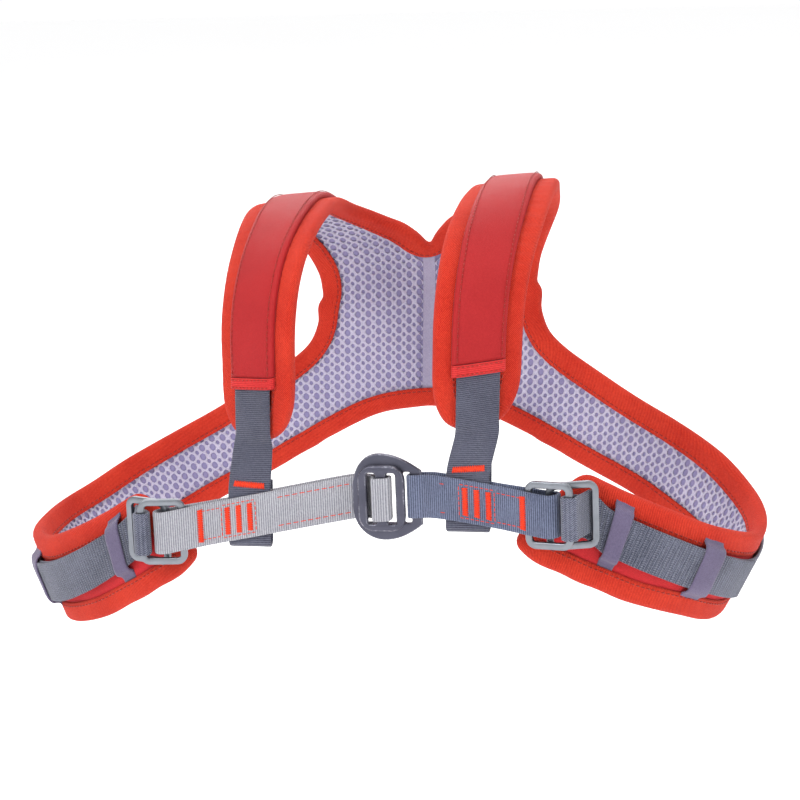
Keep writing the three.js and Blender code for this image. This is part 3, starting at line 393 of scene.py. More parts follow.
def spread(ends, shares):
    """A grid of points between the two ends of every row."""
    return ends[0][:, None] + (ends[1] - ends[0])[:, None] * shares[None, :, None]


root_shares = np.linspace(0, 1, PAD_COLUMNS + 1)
root = band_line(np.array([0.0, ROOT_ROW]))[1]
root_points = root[0] + (root[1] - root[0]) * root_shares[:, None]
band_rows = np.concatenate([root_shares * ROOT_ROW, even_rows(band_line, ROOT_ROW, TIP_ROW, PAD_STEP)[1:]])
band_ends = band_line(band_rows)
band_ends[1][: PAD_COLUMNS + 1] = root_points
strap_rows = even_rows(strap_line, 0, END_ROW, PAD_STEP)[1:]
strap_ends = strap_line(strap_rows)
band_grid = spread(band_ends, np.linspace(0, 1, BAND_COLUMNS + 1))
strap_grid = spread(strap_ends, root_shares)
pattern = np.concatenate([band_grid.reshape(-1, 2), strap_grid.reshape(-1, 2)])


def grid_ids(grid, first=0):
    """The numbers of a grid's points, counted on from the first."""
    return first + np.arange(grid.shape[0] * grid.shape[1]).reshape(grid.shape[:2])


def grid_faces(ids):
    """The four-cornered faces of a grid of points."""
    return np.stack([ids[:-1, :-1], ids[1:, :-1], ids[1:, 1:], ids[:-1, 1:]], -1).reshape(-1, 4)


band_ids = grid_ids(band_grid)
strap_ids = np.concatenate([band_ids[None, : PAD_COLUMNS + 1, -1], grid_ids(strap_grid, band_ids.size)])
strap_ids = strap_ids[:, ::-1]
pad_faces = np.concatenate([grid_faces(band_ids), grid_faces(strap_ids)])

# The bound edge of one half: neck, strap end, armhole, wing top, tip and lower edge
end_shares = np.linspace(0, 1, STRAP_END_STEPS + 1)[1:-1]
tip_shares = np.linspace(0, 1, TIP_STEPS + 1)[1:-1]
bound_edge = np.concatenate([
    root_points[:1],
    strap_ends[0],
    spread([end[-1:] for end in strap_ends], end_shares)[0],
    strap_ends[1][::-1],
    band_ends[1][PAD_COLUMNS:],
    spread([end[-1:] for end in band_ends[::-1]], tip_shares)[0],
    band_ends[0][::-1],
])


def edge_distance(points):
    """The shortest way in the pattern from each point to the bound edge: the point is dropped on every
    stretch of the edge, and the nearest counts."""
    coarse = bound_edge[::2] if len(bound_edge) % 2 else np.concatenate([bound_edge[::2], bound_edge[-1:]])
    run = np.diff(coarse, axis=0)
    offset = points.reshape(-1, 1, 2) - coarse[:-1]
    share = np.clip((offset * run).sum(-1) / (run**2).sum(-1), 0, 1)
    return np.linalg.norm(offset - share[..., None] * run, axis=-1).min(1)


def two_faced(low, high, faces):
    """A closed layer: the faces on the low points, the same turned over on the high points, and a wall
    along every side that only one face has."""
    count = len(low)
    sides = np.stack([faces, np.roll(faces, -1, axis=1)], -1).reshape(-1, 2)
    forward = sides[:, 0] * count + sides[:, 1]
    free = sides[~np.isin(forward, sides[:, 1] * count + sides[:, 0])]
    walls = np.stack([free[:, 1], free[:, 0], free[:, 0] + count, free[:, 1] + count], -1)
    return np.concatenate([low, high]), [faces, faces[:, ::-1] + count, walls]


def finished(name, mesh, material, sharp):
    """An object from a mesh in one material, smooth but for the edges sharper than so many degrees."""
    mesh.shade_smooth()
    mesh.set_sharp_from_angle(angle=math.radians(sharp))
    mesh.materials.clear()
    mesh.materials.append(material)
    return added(name, mesh)


def piece(name, points, faces, run, material, sharp=50):
    """An object from points in millimetres and sets of faces, turned so that its volume counts positive.
    Run gives the millimetres along and across the cloth, for each point or for each corner."""
    if not isinstance(run, list):
        run = [run[group] for group in faces]
    corners = [points[group] for group in faces]
    volume = sum((group[:, 0] * np.cross(group[:, k], group[:, k + 1])).sum()
                 for group in corners for k in range(1, group.shape[1] - 1))
    if volume < 0:
        faces = [group[:, ::-1] for group in faces]
        run = [group[:, ::-1] for group in run]
    order = np.concatenate([group.ravel() for group in faces])
    sizes = np.concatenate([np.full(len(group), group.shape[1]) for group in faces])
    mesh = bpy.data.meshes.new(name)
    mesh.vertices.add(len(points))
    mesh.vertices.foreach_set("co", (points / 1000).ravel())
    mesh.loops.add(len(order))
    mesh.loops.foreach_set("vertex_index", order.astype(np.int32))
    mesh.polygons.add(len(sizes))
    mesh.polygons.foreach_set("loop_start", (np.cumsum(sizes) - sizes).astype(np.int32))
    mesh.update(calc_edges=True)
    flat_run = np.concatenate([group.reshape(-1, 2) for group in run])
    held = mesh.attributes.new("run", "FLOAT_VECTOR", "CORNER")
    held.data.foreach_set("vector", np.column_stack([flat_run, np.zeros(len(flat_run))]).ravel())
    mesh.validate()
    return finished(name, mesh, material, sharp)


def fitted(made, slot_name, *nodes):
    """The piece, carried by the root body, in place of the CAD nodes named. The slot name is not used."""
    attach(made, "root")
    if nodes:
        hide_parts(*nodes)
    return made


def toned(tree, shader, tone, height, strength, depth):
    """The tone becomes the shader's colour, and the height lifts its surface by the depth in metres."""
    bump = node(tree, "Bump", strength, depth)
    tree.links.new(height, bump.inputs["Height"])
    tree.links.new(bump.outputs[0], shader.inputs["Normal"])
    tree.links.new(tone, shader.inputs["Base Color"])


def cloth(name, low, high, roughness, depth, pattern_of, sheen=0.3, cloud=0.25):
    """Woven cloth: a pattern of threads from 0 to 1 on the run of the cloth mixes two colours and lifts
    the surface by its depth in metres, and a cloudy tone and a fine fuzz break it up."""
    material, tree, shader = shader_of(name, roughness, sheen=sheen, gloss=0.15)
    run = node(tree, "SeparateXYZ", node(tree, "Attribute", attribute_name="run").outputs["Vector"]).outputs
    woven = pattern_of(tree, run[0], run[1])
    spot = node(tree, "TexCoord").outputs["Object"]
    clouds = noise(tree, spot, 26.0, 3.0, 0.55)
    fuzz = noise(tree, spot, 900.0, 2.0, 0.6)
    shade = woven
    for part, share in ((clouds, cloud * 4), (fuzz, 0.9)):
        shade = maths(tree, "ADD", shade, maths(tree, "MULTIPLY", maths(tree, "SUBTRACT", part, 0.5), share))
    tone = node(tree, "MixRGB", node(tree, "Clamp", shade).outputs[0], low, high).outputs[0]
    height = maths(tree, "ADD", woven, maths(tree, "MULTIPLY", fuzz, 0.5))
    toned(tree, shader, tone, height, 1.0, depth)
    return material


def wave(tree, socket, pitch, phase=0.0):
    """A smooth wave from 0 to 1 that repeats at each pitch."""
    turns = maths(tree, "MULTIPLY_ADD", socket, 2 * math.pi / pitch, phase)
    return maths(tree, "MULTIPLY_ADD", maths(tree, "SINE", turns), 0.5, 0.5)


def plain_weave(pitch):
    """Threads over and under each other: one wave along times one wave across, and their opposites."""
    def pattern_of(tree, along, across):
        both = maths(tree, "MULTIPLY", wave(tree, along, pitch), wave(tree, across, pitch))
        other = maths(tree, "MULTIPLY", wave(tree, along, pitch, math.pi), wave(tree, across, pitch, math.pi))
        return maths(tree, "ADD", both, other)
    return pattern_of


shell_cloth = cloth("shell_cloth", color(178, 34, 40), color(228, 58, 62), 0.8, 0.00025, plain_weave(0.8),
                    sheen=0.05)
pad_distance = edge_distance(pattern)
puff = 1 - (1 - np.clip((pad_distance - PUFF_START) / PUFF_WIDTH, 0, 1)) ** 2
u, v = pattern.T
ripple = 0.16 * np.sin(u / 9 + 1.3 * np.sin(v / 17)) * np.sin(v / 7 + u / 23)
ripple += 0.1 * np.sin(v / 3.4 + u / 6.1)
shell_top = SHELL_BASE + SHELL_RIM + (SHELL_FULL - SHELL_RIM) * puff + ripple * puff


def half_layer(name, side, low, high, material):
    """One half's layer between two lifts, with its edge at the middle of the back cut plumb at the seam."""
    layers = [lifted(side * u, v, lift) for lift in (low, high)]
    for layer in layers:
        layer[:, 0] = np.where(u < SEAM_GAP, side * SEAM_GAP / 2, layer[:, 0])
    points, faces = two_faced(*[settle(layer) for layer in layers], pad_faces)
    return piece(name, points, faces, np.tile(pattern, (2, 1)), material)


for name, side in SIDES:
    shell = half_layer(f"foam_shell_{name}", side, SHELL_BASE, shell_top, shell_cloth)
    fitted(shell, "shell", f"pad_shell_{name}")

# Mesh lining
# A pale lilac spacer mesh lines the inside of both halves: a net of round threads with large and small
# oval holes over a darker ground. A plain folded strip covers the seam down the middle of the back.
NET_PITCH = (6.6, 6.0)
NET_THICK = 0.85
NET_ROUND = 0.16
LARGE_HOLE = (2.55, 1.85)
SMALL_HOLE = (1.5, 1.15)
HOLE_SLANT = math.radians(76)
NET_INSET = 8.5
GROUND_LOW = 0.9
SEAM_STRIP = 3.3
SEAM_LAP = 0.6
SEAM_PROUD = 0.1
SEAM_CROWN = 0.25
SEAM_INSET = 3


def net_pattern(tree, along, across):
    """Fine crossing filaments of the knitted thread."""
    return wave(tree, maths(tree, "ADD", along, across), 0.55)


def in_pattern(points):
    """Whether points lie inside the half pattern: a level line from such a point to the right crosses the
    outline an odd number of times."""
    start = np.concatenate([bound_edge, bound_edge[:1]])
    (x0, y0), (x1, y1) = start[:-1].T, start[1:].T
    x, y = points[:, :1], points[:, 1:]
    spans = (y0 > y) != (y1 > y)
    slope = np.where(y1 == y0, 1, y1 - y0)
    return (spans & (x < x0 + (y - y0) * (x1 - x0) / slope)).sum(1) % 2 == 1


def net_cells():
    """Diamond cells in two interleaved lattices, each with a ring of four-cornered faces between its
    outline and an oval hole. Corners that neighbours share are merged by their rounded coordinates."""
    low = bound_edge.min(0)
    high = bound_edge.max(0)
    columns, rows = [np.arange(a // p - 1, b // p + 2) for a, b, p in zip(low, high, NET_PITCH)]
    lattice = np.stack(np.meshgrid(columns, rows, indexing="ij"), -1).reshape(-1, 2)
    outlines = []
    holes = []
    turn = np.arange(8) * np.pi / 4
    wide = np.abs(np.cos(turn)) + np.abs(np.sin(turn))
    diamond = np.stack([np.cos(turn), np.sin(turn)], -1) / wide[:, None] * np.array(NET_PITCH) / 2
    cos, sin = np.cos(HOLE_SLANT), np.sin(HOLE_SLANT)
    slant = np.array([[cos, sin], [-sin, cos]])
    for shift, size in ((0, LARGE_HOLE), (0.5, SMALL_HOLE)):
        centres = (lattice + shift) * NET_PITCH
        oval = np.stack([size[0] * np.cos(turn - HOLE_SLANT), size[1] * np.sin(turn - HOLE_SLANT)], -1)
        kept = in_pattern(centres) & (edge_distance(centres) > NET_INSET)
        kept &= centres[:, 0] > SEAM_STRIP + NET_PITCH[0] / 2 - SEAM_LAP
        outlines.append(centres[kept][:, None] + diamond)
        holes.append(centres[kept][:, None] + oval @ slant)
    rings = np.concatenate([np.concatenate(outlines), np.concatenate(holes)], axis=0)
    cells = len(rings) // 2
    flat = rings.reshape(-1, 2)
    kept, where = np.unique(np.round(flat * 50).astype(int), axis=0, return_inverse=True)
    where = where.ravel()
    merged = np.zeros((len(kept), 2))
    merged[where] = flat
    at_hole = np.zeros(len(kept), bool)
    at_hole[where[cells * 8:]] = True
    outer = where[: cells * 8].reshape(cells, 8)
    inner = where[cells * 8:].reshape(cells, 8)
    faces = np.stack([outer, np.roll(outer, -1, 1), np.roll(inner, -1, 1), inner], -1).reshape(-1, 4)
    return merged, at_hole, faces


ground_cloth = cloth("lining_ground", color(138, 132, 172), color(162, 156, 196), 0.95, 0.0002,
                     plain_weave(0.9))
net_thread = cloth("lining_net", color(182, 178, 204), color(214, 210, 230), 0.85, 0.00012, net_pattern)
seam_tape = cloth("lining_seam", color(147, 141, 169), color(184, 179, 201), 0.85, 0.0002, plain_weave(1.0))
net_points, net_rims, net_faces = net_cells()
for name, side in SIDES:
    ground = half_layer(f"lining_ground_{name}", side, GROUND_LOW, LINING_THICK, ground_cloth)
    fitted(ground, "lining", f"mesh_lining_{name}")
    low, high = [place(side * net_points[:, 0], net_points[:, 1], lift)
                 for lift in (np.where(net_rims, NET_ROUND, 0), NET_THICK)]
    points, faces = two_faced(low, high, net_faces)
    net = piece(f"lining_net_{name}", points, faces, np.tile(net_points, (2, 1)), net_thread, sharp=180)
    fitted(net, "lining")

seam_half = SEAM_STRIP + SEAM_LAP
seam_along = np.linspace(band_ends[0][0, 1] + SEAM_INSET, band_ends[1][0, 1] - SEAM_INSET, 60)
seam_around = np.linspace(-seam_half, seam_half, 9)
seam_grid = np.stack(np.meshgrid(seam_around, seam_along, indexing="ij"), -1)
seam_flat = seam_grid.reshape(-1, 2)
seam_crown = SEAM_CROWN * (1 - (seam_flat[:, 0] / seam_half) ** 2)
seam_low, seam_high = [place(*seam_flat.T, lift) for lift in (-SEAM_PROUD - seam_crown, NET_THICK)]
points, faces = two_faced(seam_low, seam_high, grid_faces(grid_ids(seam_grid)))
seam_strip = piece("lining_seam_strip", points, faces, np.tile(seam_flat, (2, 1)), seam_tape)
fitted(seam_strip, "lining")

# Edge binding
# One orange-red twill tape is folded round the whole edge of the yoke and takes in lining and shell.
# A row of lock stitches holds it on both faces. It puckers where it turns round the armholes.
TAPE_THICK = 1
TAPE_LEG = 11
TAPE_PLAY = 0.8
TAPE_TOP = SHELL_BASE + SHELL_RIM + TAPE_PLAY + TAPE_THICK
TAPE_STEP = 1.8
PUCKER_PITCH = 8.5
STITCH_INSET = 2.2
FOLD_START = 2.4
FOLD_REACH = 4.2


def between(at, walked, values):
    """Rows of values read at the given places along a line."""
    return np.stack([np.interp(at, walked, column) for column in values.T], -1)


def around_loop(values, reach):
    """A closed row of points smoothed by a bell-shaped weight over that many neighbours on each side."""
    steps = np.arange(-3 * reach, 3 * reach + 1)
    weights = np.exp(-0.5 * (steps / reach) ** 2)
    weights /= weights.sum()
    return sum(weight * np.roll(values, step, axis=0) for weight, step in zip(weights, steps))


def tape_loop():
    """The bound edge of both halves as one closed line at even steps, with its inward direction."""
    right = bound_edge[1:-1]
    left = bound_edge[1:-1][::-1] * np.array([-1, 1])
    loop = np.concatenate([right, left, right[:1]])
    walked = lengths_along(loop)
    count = round(walked[-1] / TAPE_STEP)
    at = np.arange(count) * walked[-1] / count
    even = around_loop(between(at, walked, loop), 1)
    ahead = unit(np.roll(even, -2, axis=0) - np.roll(even, 2, axis=0))
    inward = unit(around_loop(np.stack([ahead[:, 1], -ahead[:, 0]], -1), 2))
    return at, even, inward, walked[-1]


def tape_section():
    """The fold in depth from the edge and in lift: a round back between two straight legs, and the same
    one thickness inside it. Returns the outer row and then the inner row read back."""
    low, high = -(TAPE_PLAY + TAPE_THICK), TAPE_TOP
    rows = []
    for inset in (0, TAPE_THICK):
        half = (high - low) / 2 - inset
        angle = np.linspace(-np.pi / 2, np.pi / 2, 11)
        back = FOLD_START - (FOLD_REACH - inset) * np.cos(angle) ** 0.8
        turn = np.stack([back, (high + low) / 2 + half * np.sin(angle)], -1)
        legs = np.linspace(TAPE_LEG, FOLD_START, 6)[:-1]
        lower = np.stack([legs, np.full(5, (high + low) / 2 - half)], -1)
        upper = np.stack([legs[::-1], np.full(5, (high + low) / 2 + half)], -1)
        rows.append(np.concatenate([lower, turn, upper]))
    return np.concatenate([rows[0], rows[1][::-1]])


def closed_walls(rings, size):
    """The four-cornered faces of a tube of equal rings that closes on itself."""
    ring = np.arange(rings)[:, None] * size
    following = np.roll(ring, -1, axis=0)
    k = np.arange(size)[None]
    beside = (k + 1) % size
    return np.stack([ring + k, ring + beside, following + beside, following + k], -1).reshape(-1, 4)


def wall_run(along, across, i, k, beside):
    """The run at the corners of a tube's walls, each from ring i to the next and from point k to the one
    beside it."""
    corners = ((i, k), (i, beside), (i + 1, beside), (i + 1, k))
    return np.stack([np.stack([along[a], across[b]], -1) for a, b in corners], 2).reshape(-1, 4, 2)


tape_at, tape_edge, tape_inward, tape_length = tape_loop()
tape_inner = around_loop(tape_edge + TAPE_LEG * tape_inward, 3)
section = tape_section()
armhole = ease((np.abs(tape_edge[:, 0]) - 0.13 * GIRTH) / 8) * ease((80 + tape_edge[:, 1]) / 30)
armhole = around_loop(armhole, 4)
pucker_phase = 2 * np.pi * tape_at / PUCKER_PITCH + 2.1 * np.sin(tape_at / 23) + 1.4 * np.sin(tape_at / 9.7)
pucker = np.sin(pucker_phase) * (0.12 + 0.3 * armhole) * (0.75 + 0.25 * np.sin(tape_at / 31))


def on_tape(depth, lift, bulge=1.0):
    """A point on the tape: so deep from the edge along the line to the smoothed inner edge, so far up."""
    share = depth / TAPE_LEG
    flat = tape_edge[:, None] + (tape_inner - tape_edge)[:, None] * share[None, :, None]
    toward = np.sign(lift - (TAPE_TOP - TAPE_PLAY - TAPE_THICK) / 2)
    spread_out = np.clip(0.25 + depth / TAPE_LEG, 0, 1)
    proud = pucker[:, None] * (toward * spread_out)[None] * bulge
    return place(flat[..., 0], flat[..., 1], lift[None] + proud)


def twill(pitch, lean=1.0):
    """Slanting ribs: one wave along and across together, broken by a finer wave along the rib."""
    def pattern_of(tree, along, across):
        ribs = wave(tree, maths(tree, "MULTIPLY_ADD", across, lean, along), pitch)
        grain = wave(tree, maths(tree, "MULTIPLY_ADD", across, -lean * 1.7, along), pitch * 0.62)
        return maths(tree, "MULTIPLY_ADD", grain, 0.25, maths(tree, "MULTIPLY", ribs, 0.75))
    return pattern_of


tape_points = on_tape(section[:, 0], section[:, 1])
section_walk = lengths_along(section)
tape_along = np.concatenate([tape_at, [tape_length]])
tape_across = np.concatenate([section_walk, [section_walk[-1] + TAPE_THICK]])
i, k = np.indices((len(tape_at), len(section)))
tape_run = wall_run(tape_along, tape_across, i, k, k + 1)
tape_twill = cloth("binding_twill", color(192, 32, 20), color(242, 74, 50), 0.75, 0.0005, twill(1.2),
                   sheen=0.04)
tape_walls = closed_walls(len(tape_at), len(section))
binding = piece("edge_tape", tape_points.reshape(-1, 3), [tape_walls], [tape_run], tape_twill, sharp=180)
fitted(binding, "binding", "edge_binding")


def threads(starts, ends, normals, thick):
    """Short threads from starts to ends: rings of five points round each line, thin at both ends, where
    the thread dips into the cloth, and full between."""
    ahead = unit(ends - starts)
    side = unit(np.cross(ahead, normals))
    up = np.cross(side, ahead)
    shares = np.array([0, 0.14, 0.86, 1.0])
    full = np.array([0.4, 1, 1, 0.4])
    height = np.array([-0.35, 0.22, 0.22, -0.35]) * thick
    angle = np.arange(5) * 2 * np.pi / 5
    middle = starts[:, None] + (ends - starts)[:, None] * shares[None, :, None]
    middle = middle + up[:, None] * height[:, None]
    round_it = side[:, None, None] * np.cos(angle)[:, None] + up[:, None, None] * np.sin(angle)[:, None]
    points = middle[:, :, None] + round_it * (full * thick / 2)[None, :, None, None]
    count = len(starts)
    base = np.arange(count)[:, None, None] * 20
    ring = np.arange(3)[None, :, None] * 5
    k = np.arange(5)[None, None]
    beside = (k + 1) % 5
    here = base + ring
    walls = np.stack([here + k, here + beside, here + 5 + beside, here + 5 + k], -1).reshape(-1, 4)
    caps = np.concatenate([base[:, 0] + np.arange(5)[::-1], base[:, 0] + 15 + np.arange(5)])
    return points.reshape(-1, 3), [walls, caps]


def stitch_row(line, normals, length=2.6, gap=0.8):
    """The starts, ends and normals of stitches along a line, one length and one gap after another."""
    walked = lengths_along(line)
    count = max(1, int((walked[-1] + gap) / (length + gap)))
    first = np.arange(count) * (length + gap) + (walked[-1] - count * (length + gap) + gap) / 2
    starts, ends = [between(at, walked, line) for at in (first, first + length)]
    return starts, ends, unit(between(first, walked, normals))


def sewn(name, rows, finish, thick):
    """One piece of thread from several rows of stitches."""
    starts, ends, normals = [np.concatenate(part) for part in zip(*rows)]
    points, faces = threads(starts, ends, normals, thick)
    return fitted(piece(name, points, faces, points[:, :2], finish, sharp=180), "binding")


def twist_pattern(tree, along, across):
    """The slanting lay of a twisted thread."""
    return wave(tree, maths(tree, "ADD", along, across), 0.5)


red_thread = cloth("red_thread", color(132, 26, 20), color(186, 48, 34), 0.6, 0.00008, twist_pattern)
stitch_rows = []
for stitch_lift, outward in ((TAPE_TOP, 1), (-(TAPE_PLAY + TAPE_THICK), -1)):
    depth = np.array([TAPE_LEG - STITCH_INSET])
    surface = on_tape(depth, np.array([stitch_lift]))[:, 0]
    above = on_tape(depth, np.array([stitch_lift + outward]))[:, 0]
    closed = np.concatenate([surface, surface[:1]])
    closed_up = unit(np.concatenate([above - surface, (above - surface)[:1]]))
    stitch_rows.append(stitch_row(closed, closed_up))
sewn("binding_stitches", stitch_rows, red_thread, 0.75)

# Webbing paths
# Flat woven webbing, 25 millimetres wide, is carried along paths on the pads and between the hardware.
# The shoulder webbing runs under its sleeve down to the chest strap, passes between its two plies and
# turns back up behind it. Both ends of the torso webbing are threaded through the ring adjusters.
WEB_WIDTH = 25
WEB_THICK = 2
WEB_PLAY = 0.7
WEB_LIFT = SHELL_BASE + SHELL_FULL + WEB_PLAY + WEB_THICK / 2
TAIL_LIFT = WEB_LIFT + WEB_THICK + LAYER_GAP
WEB_STEP = 1.0
CHEST_PLANE = -112
CHEST_SHIFT = 3.8
PLY_SPREAD = 3
BUCKLE_X = 25
BUCKLE_Z = -160
FRAME_WIDTH = 40
RING_Z = -176.2
BIG_RING_BAR_X = 112.8
SHOULDER_WEB_X = 64
SHOULDER_WEB_SHIFT = 6
SHOULDER_LIP = 16
SHOULDER_RETURN = 20
SHOULDER_LEAVING = 6
SLEEVE_START_ROW = 0.5
WEB_END_ROW = 14.3


def strap_middle(rows):
    """The middle of the strap's cross lines."""
    return sum(strap_line(rows)) / 2


def band_middle(rows):
    """The line of the torso webbing on the band."""
    low, top = band_line(rows)
    return low + (top - low) * read(BAND[:, 4], rows)[..., None]


def across_row(line, path, rows, offset):
    """A pattern point on each row, offset from the path by millimetres at right angles to the path: the
    offset along the row is divided by the sine of the angle between row and path."""
    rows, offset = np.broadcast_arrays(rows * 1.0, offset * 1.0)
    first, last = line(rows)
    along = unit(last - first)
    ahead = unit(path(rows + 0.05) - path(np.maximum(rows - 0.05, 0)))
    sine = np.abs(ahead[..., 0] * along[..., 1] - ahead[..., 1] * along[..., 0])
    return path(rows) + along * (offset / sine)[..., None]


def on_pad(line, path):
    """A function for points on or above the strap or the band, given by its cross lines and its path."""
    def at(side, rows, offset, lift):
        flat = across_row(line, path, rows, offset)
        return place(side * flat[..., 0], flat[..., 1], lift)
    return at


on_strap = on_pad(strap_line, strap_middle)
on_band = on_pad(band_line, band_middle)


def laid(on, side, rows, lift):
    """The centres of webbing on the pad and its directions across, read two millimetres to either side."""
    return on(side, rows, 0, lift), unit(on(side, rows, 2, lift) - on(side, rows, -2, lift))


def web_line(points, acrosses, step=WEB_STEP, closed=False, facing=1):
    """A smooth line through stations at even steps. Each stretch is a cubic whose end slopes come from
    the neighbouring stations, with square roots of the distances as its measure. Returns the length
    walked, the centres, the directions across the webbing and the normals of its face."""
    stations = np.column_stack([points, unit(np.array(acrosses, float))])
    if closed:
        stations = np.concatenate([stations[-3:], stations, stations[:4]])
    steps = np.linalg.norm(np.diff(stations[:, :3], axis=0), axis=1)
    knots = np.concatenate([[0], np.cumsum(np.sqrt(steps))])
    slopes = np.gradient(stations, knots, axis=0)
    start, end = (knots[3], knots[-4]) if closed else (knots[0], knots[-1])
    fine = np.linspace(start, end, 60 * len(points))
    i = np.clip(np.searchsorted(knots, fine, "right") - 1, 0, len(knots) - 2)
    span = (knots[i + 1] - knots[i])[:, None]
    t = (fine - knots[i])[:, None] / span
    line = cubic(t, stations[i], stations[i + 1], span * slopes[i], span * slopes[i + 1])
    walked = lengths_along(line[:, :3])
    count = max(2, round(walked[-1] / step) + 1)
    at = np.linspace(0, walked[-1], count)
    even = between(at, walked, line)
    centre = even[:, :3]
    across = unit(even[:, 3:])
    ahead = np.gradient(centre, axis=0)
    if closed:
        ahead[0] = ahead[-1] = centre[1] - centre[-2]
    normal = unit(np.cross(unit(ahead), across)) * facing
    return at, centre, across, normal


def flat_section(width, thick):
    """The section of webbing: an upper row from edge to edge and a lower row read back, round at both
    edges and a little fuller there than in the middle."""
    half = width / 2
    share = np.array([-0.998, -0.985, -0.95, -0.88, -0.6, -0.2, 0.2, 0.6, 0.88, 0.95, 0.985, 0.998])
    inset = np.clip((np.abs(share) * half - (half - thick / 2)) / (thick / 2), 0, 1)
    height = thick / 2 * np.sqrt(1 - inset**2) * (0.93 + 0.07 * np.abs(share) ** 4)
    upper = np.stack([share * half, height], -1)
    return np.concatenate([upper, upper[::-1] * np.array([1, -1])])


def swept(rings, along, across, closed=False):
    """Faces and cloth run of a tube through rings that each hold an upper row and a lower row read back:
    walls between the rings, and strips between the two rows that close its ends."""
    count, size = rings.shape[:2]
    i, k = np.indices((count - 1, size))
    beside = (k + 1) % size
    last = np.where(i + 1 == count - 1, 0, i + 1) if closed else i + 1
    walls = np.stack([i * size + k, i * size + beside, last * size + beside, last * size + k], -1)
    faces = [walls.reshape(-1, 4)]
    run = [wall_run(along, across, i, k, beside)]
    if not closed:
        j = np.arange(size // 2 - 1)
        strip = np.stack([j, j + 1, size - 2 - j, size - 1 - j], -1)
        for cap, row in ((strip[:, ::-1], 0), (strip, count - 1)):
            faces.append(cap + row * size)
            run.append(np.stack([np.full(cap.shape, along[row]), across[cap]], -1))
    points = rings[:-1] if closed else rings
    return points.reshape(-1, 3), faces, run


def webbing(name, line, material, slot_name, *nodes, closed=False):
    """Webbing along a line of centres: its section is set out along the across and normal directions."""
    along, centre, across, normal = line
    outline = flat_section(WEB_WIDTH, WEB_THICK)
    rings = centre[:, None] + across[:, None] * outline[:, :1] + normal[:, None] * outline[:, 1:]
    points, faces, run = swept(rings, along, outline[:, 0], closed)
    return fitted(piece(name, points, faces, run, material, sharp=180), slot_name, *nodes)


def chest_height(x):
    """The chest strap's centre line falls evenly from the buckle to the rings."""
    reach = np.abs(x - BUCKLE_X) - FRAME_WIDTH / 2
    ring_x = np.sign(x - BUCKLE_X) * BIG_RING_BAR_X + CHEST_SHIFT
    full = np.abs(ring_x - BUCKLE_X) - FRAME_WIDTH / 2
    return BUCKLE_Z + (RING_Z - BUCKLE_Z) * np.clip(reach / full, 0, 1)


def crossed_ribs(pitch, stripe):
    """Coarse ribs across the webbing, each a row of short slanting threads that lean the other way in the
    next rib: a wave across and along together, times one full swell per rib."""
    def pattern_of(tree, along, across):
        fold = maths(tree, "PINGPONG", along, stripe)
        slanted = wave(tree, maths(tree, "MULTIPLY_ADD", fold, 0.9, across), pitch)
        swell = maths(tree, "MULTIPLY_ADD", wave(tree, along, stripe), 0.5, 0.5)
        return maths(tree, "MULTIPLY", maths(tree, "MULTIPLY_ADD", slanted, 0.85, 0.15), swell)
    return pattern_of


def ribbed(pitch):
    """Cross ribs with a finer grain along them."""
    def pattern_of(tree, along, across):
        ribs = wave(tree, along, pitch)
        grain = wave(tree, across, pitch * 0.55)
        return maths(tree, "MULTIPLY_ADD", grain, 0.18, maths(tree, "MULTIPLY", ribs, 0.82))
    return pattern_of


UP = np.array([0, 0, 1.0])
grey_rib = cloth("grey_rib", color(60, 60, 74), color(104, 106, 123), 0.75, 0.0004, ribbed(1.15))
shoulder_lines = {}
for name, side in SIDES:
    rows = even_rows(strap_line, SLEEVE_START_ROW, WEB_END_ROW, 6)
    upper, upper_across = laid(on_strap, side, rows, WEB_LIFT)
    x = side * SHOULDER_WEB_X + SHOULDER_WEB_SHIFT
    z = chest_height(x)
    turn = PLY_SPREAD + WEB_THICK / 2 + LAYER_GAP
    behind = CHEST_PLANE + turn + WEB_THICK / 2
    low = z - SHOULDER_LIP
    leaving = upper[-1] + unit(upper[-1] - upper[-2]) * SHOULDER_LEAVING
    hung = settle(np.array([(x, y, height) for y, height in (
        (CHEST_PLANE, z + WEB_WIDTH * 0.62),
        (CHEST_PLANE, z - WEB_WIDTH * 0.45),
        (CHEST_PLANE + 0.4, low - 0.6),
        ((CHEST_PLANE + behind) / 2, low - 2.2),
        (behind - 0.4, low - 0.6),
        (behind, z - WEB_WIDTH * 0.45),
        (behind, z + WEB_WIDTH / 2),
        (behind - 0.4, z + SHOULDER_RETURN),
    )]))
    flat = np.array([side, 0, 0.0])
    turning = upper_across[-1] * 0.6 + flat * 0.4
    stations = np.concatenate([upper, [leaving], hung])
    acrosses = np.concatenate([upper_across, [turning], np.tile(flat, (len(hung), 1))])
    shoulder_lines[name] = web_line(stations, acrosses, facing=side)
    webbing(f"shoulder_web_{name}", shoulder_lines[name], grey_rib, "webbing_grey",
            f"shoulder_webbing_{name}")

# Ring adjusters
# Two rounded metal rings on each side, a larger one behind a smaller one, both held in the fold of the
# chest strap. The free bars take the end of the torso webbing, which the rings grip against each other.
RING_HEIGHT = 39
RING_BAR = 4
RING_THICK = 3
RING_CORNER = 6
BIG_RING_WIDTH = 30
SMALL_RING_WIDTH = 28
BIG_RING_SAG = 1.5
SMALL_RING_SAG = -0.5
SMALL_RING_BAR_X = 101.6
BIG_RING_TURN = math.radians(20)
SMALL_RING_TURN = math.radians(8)


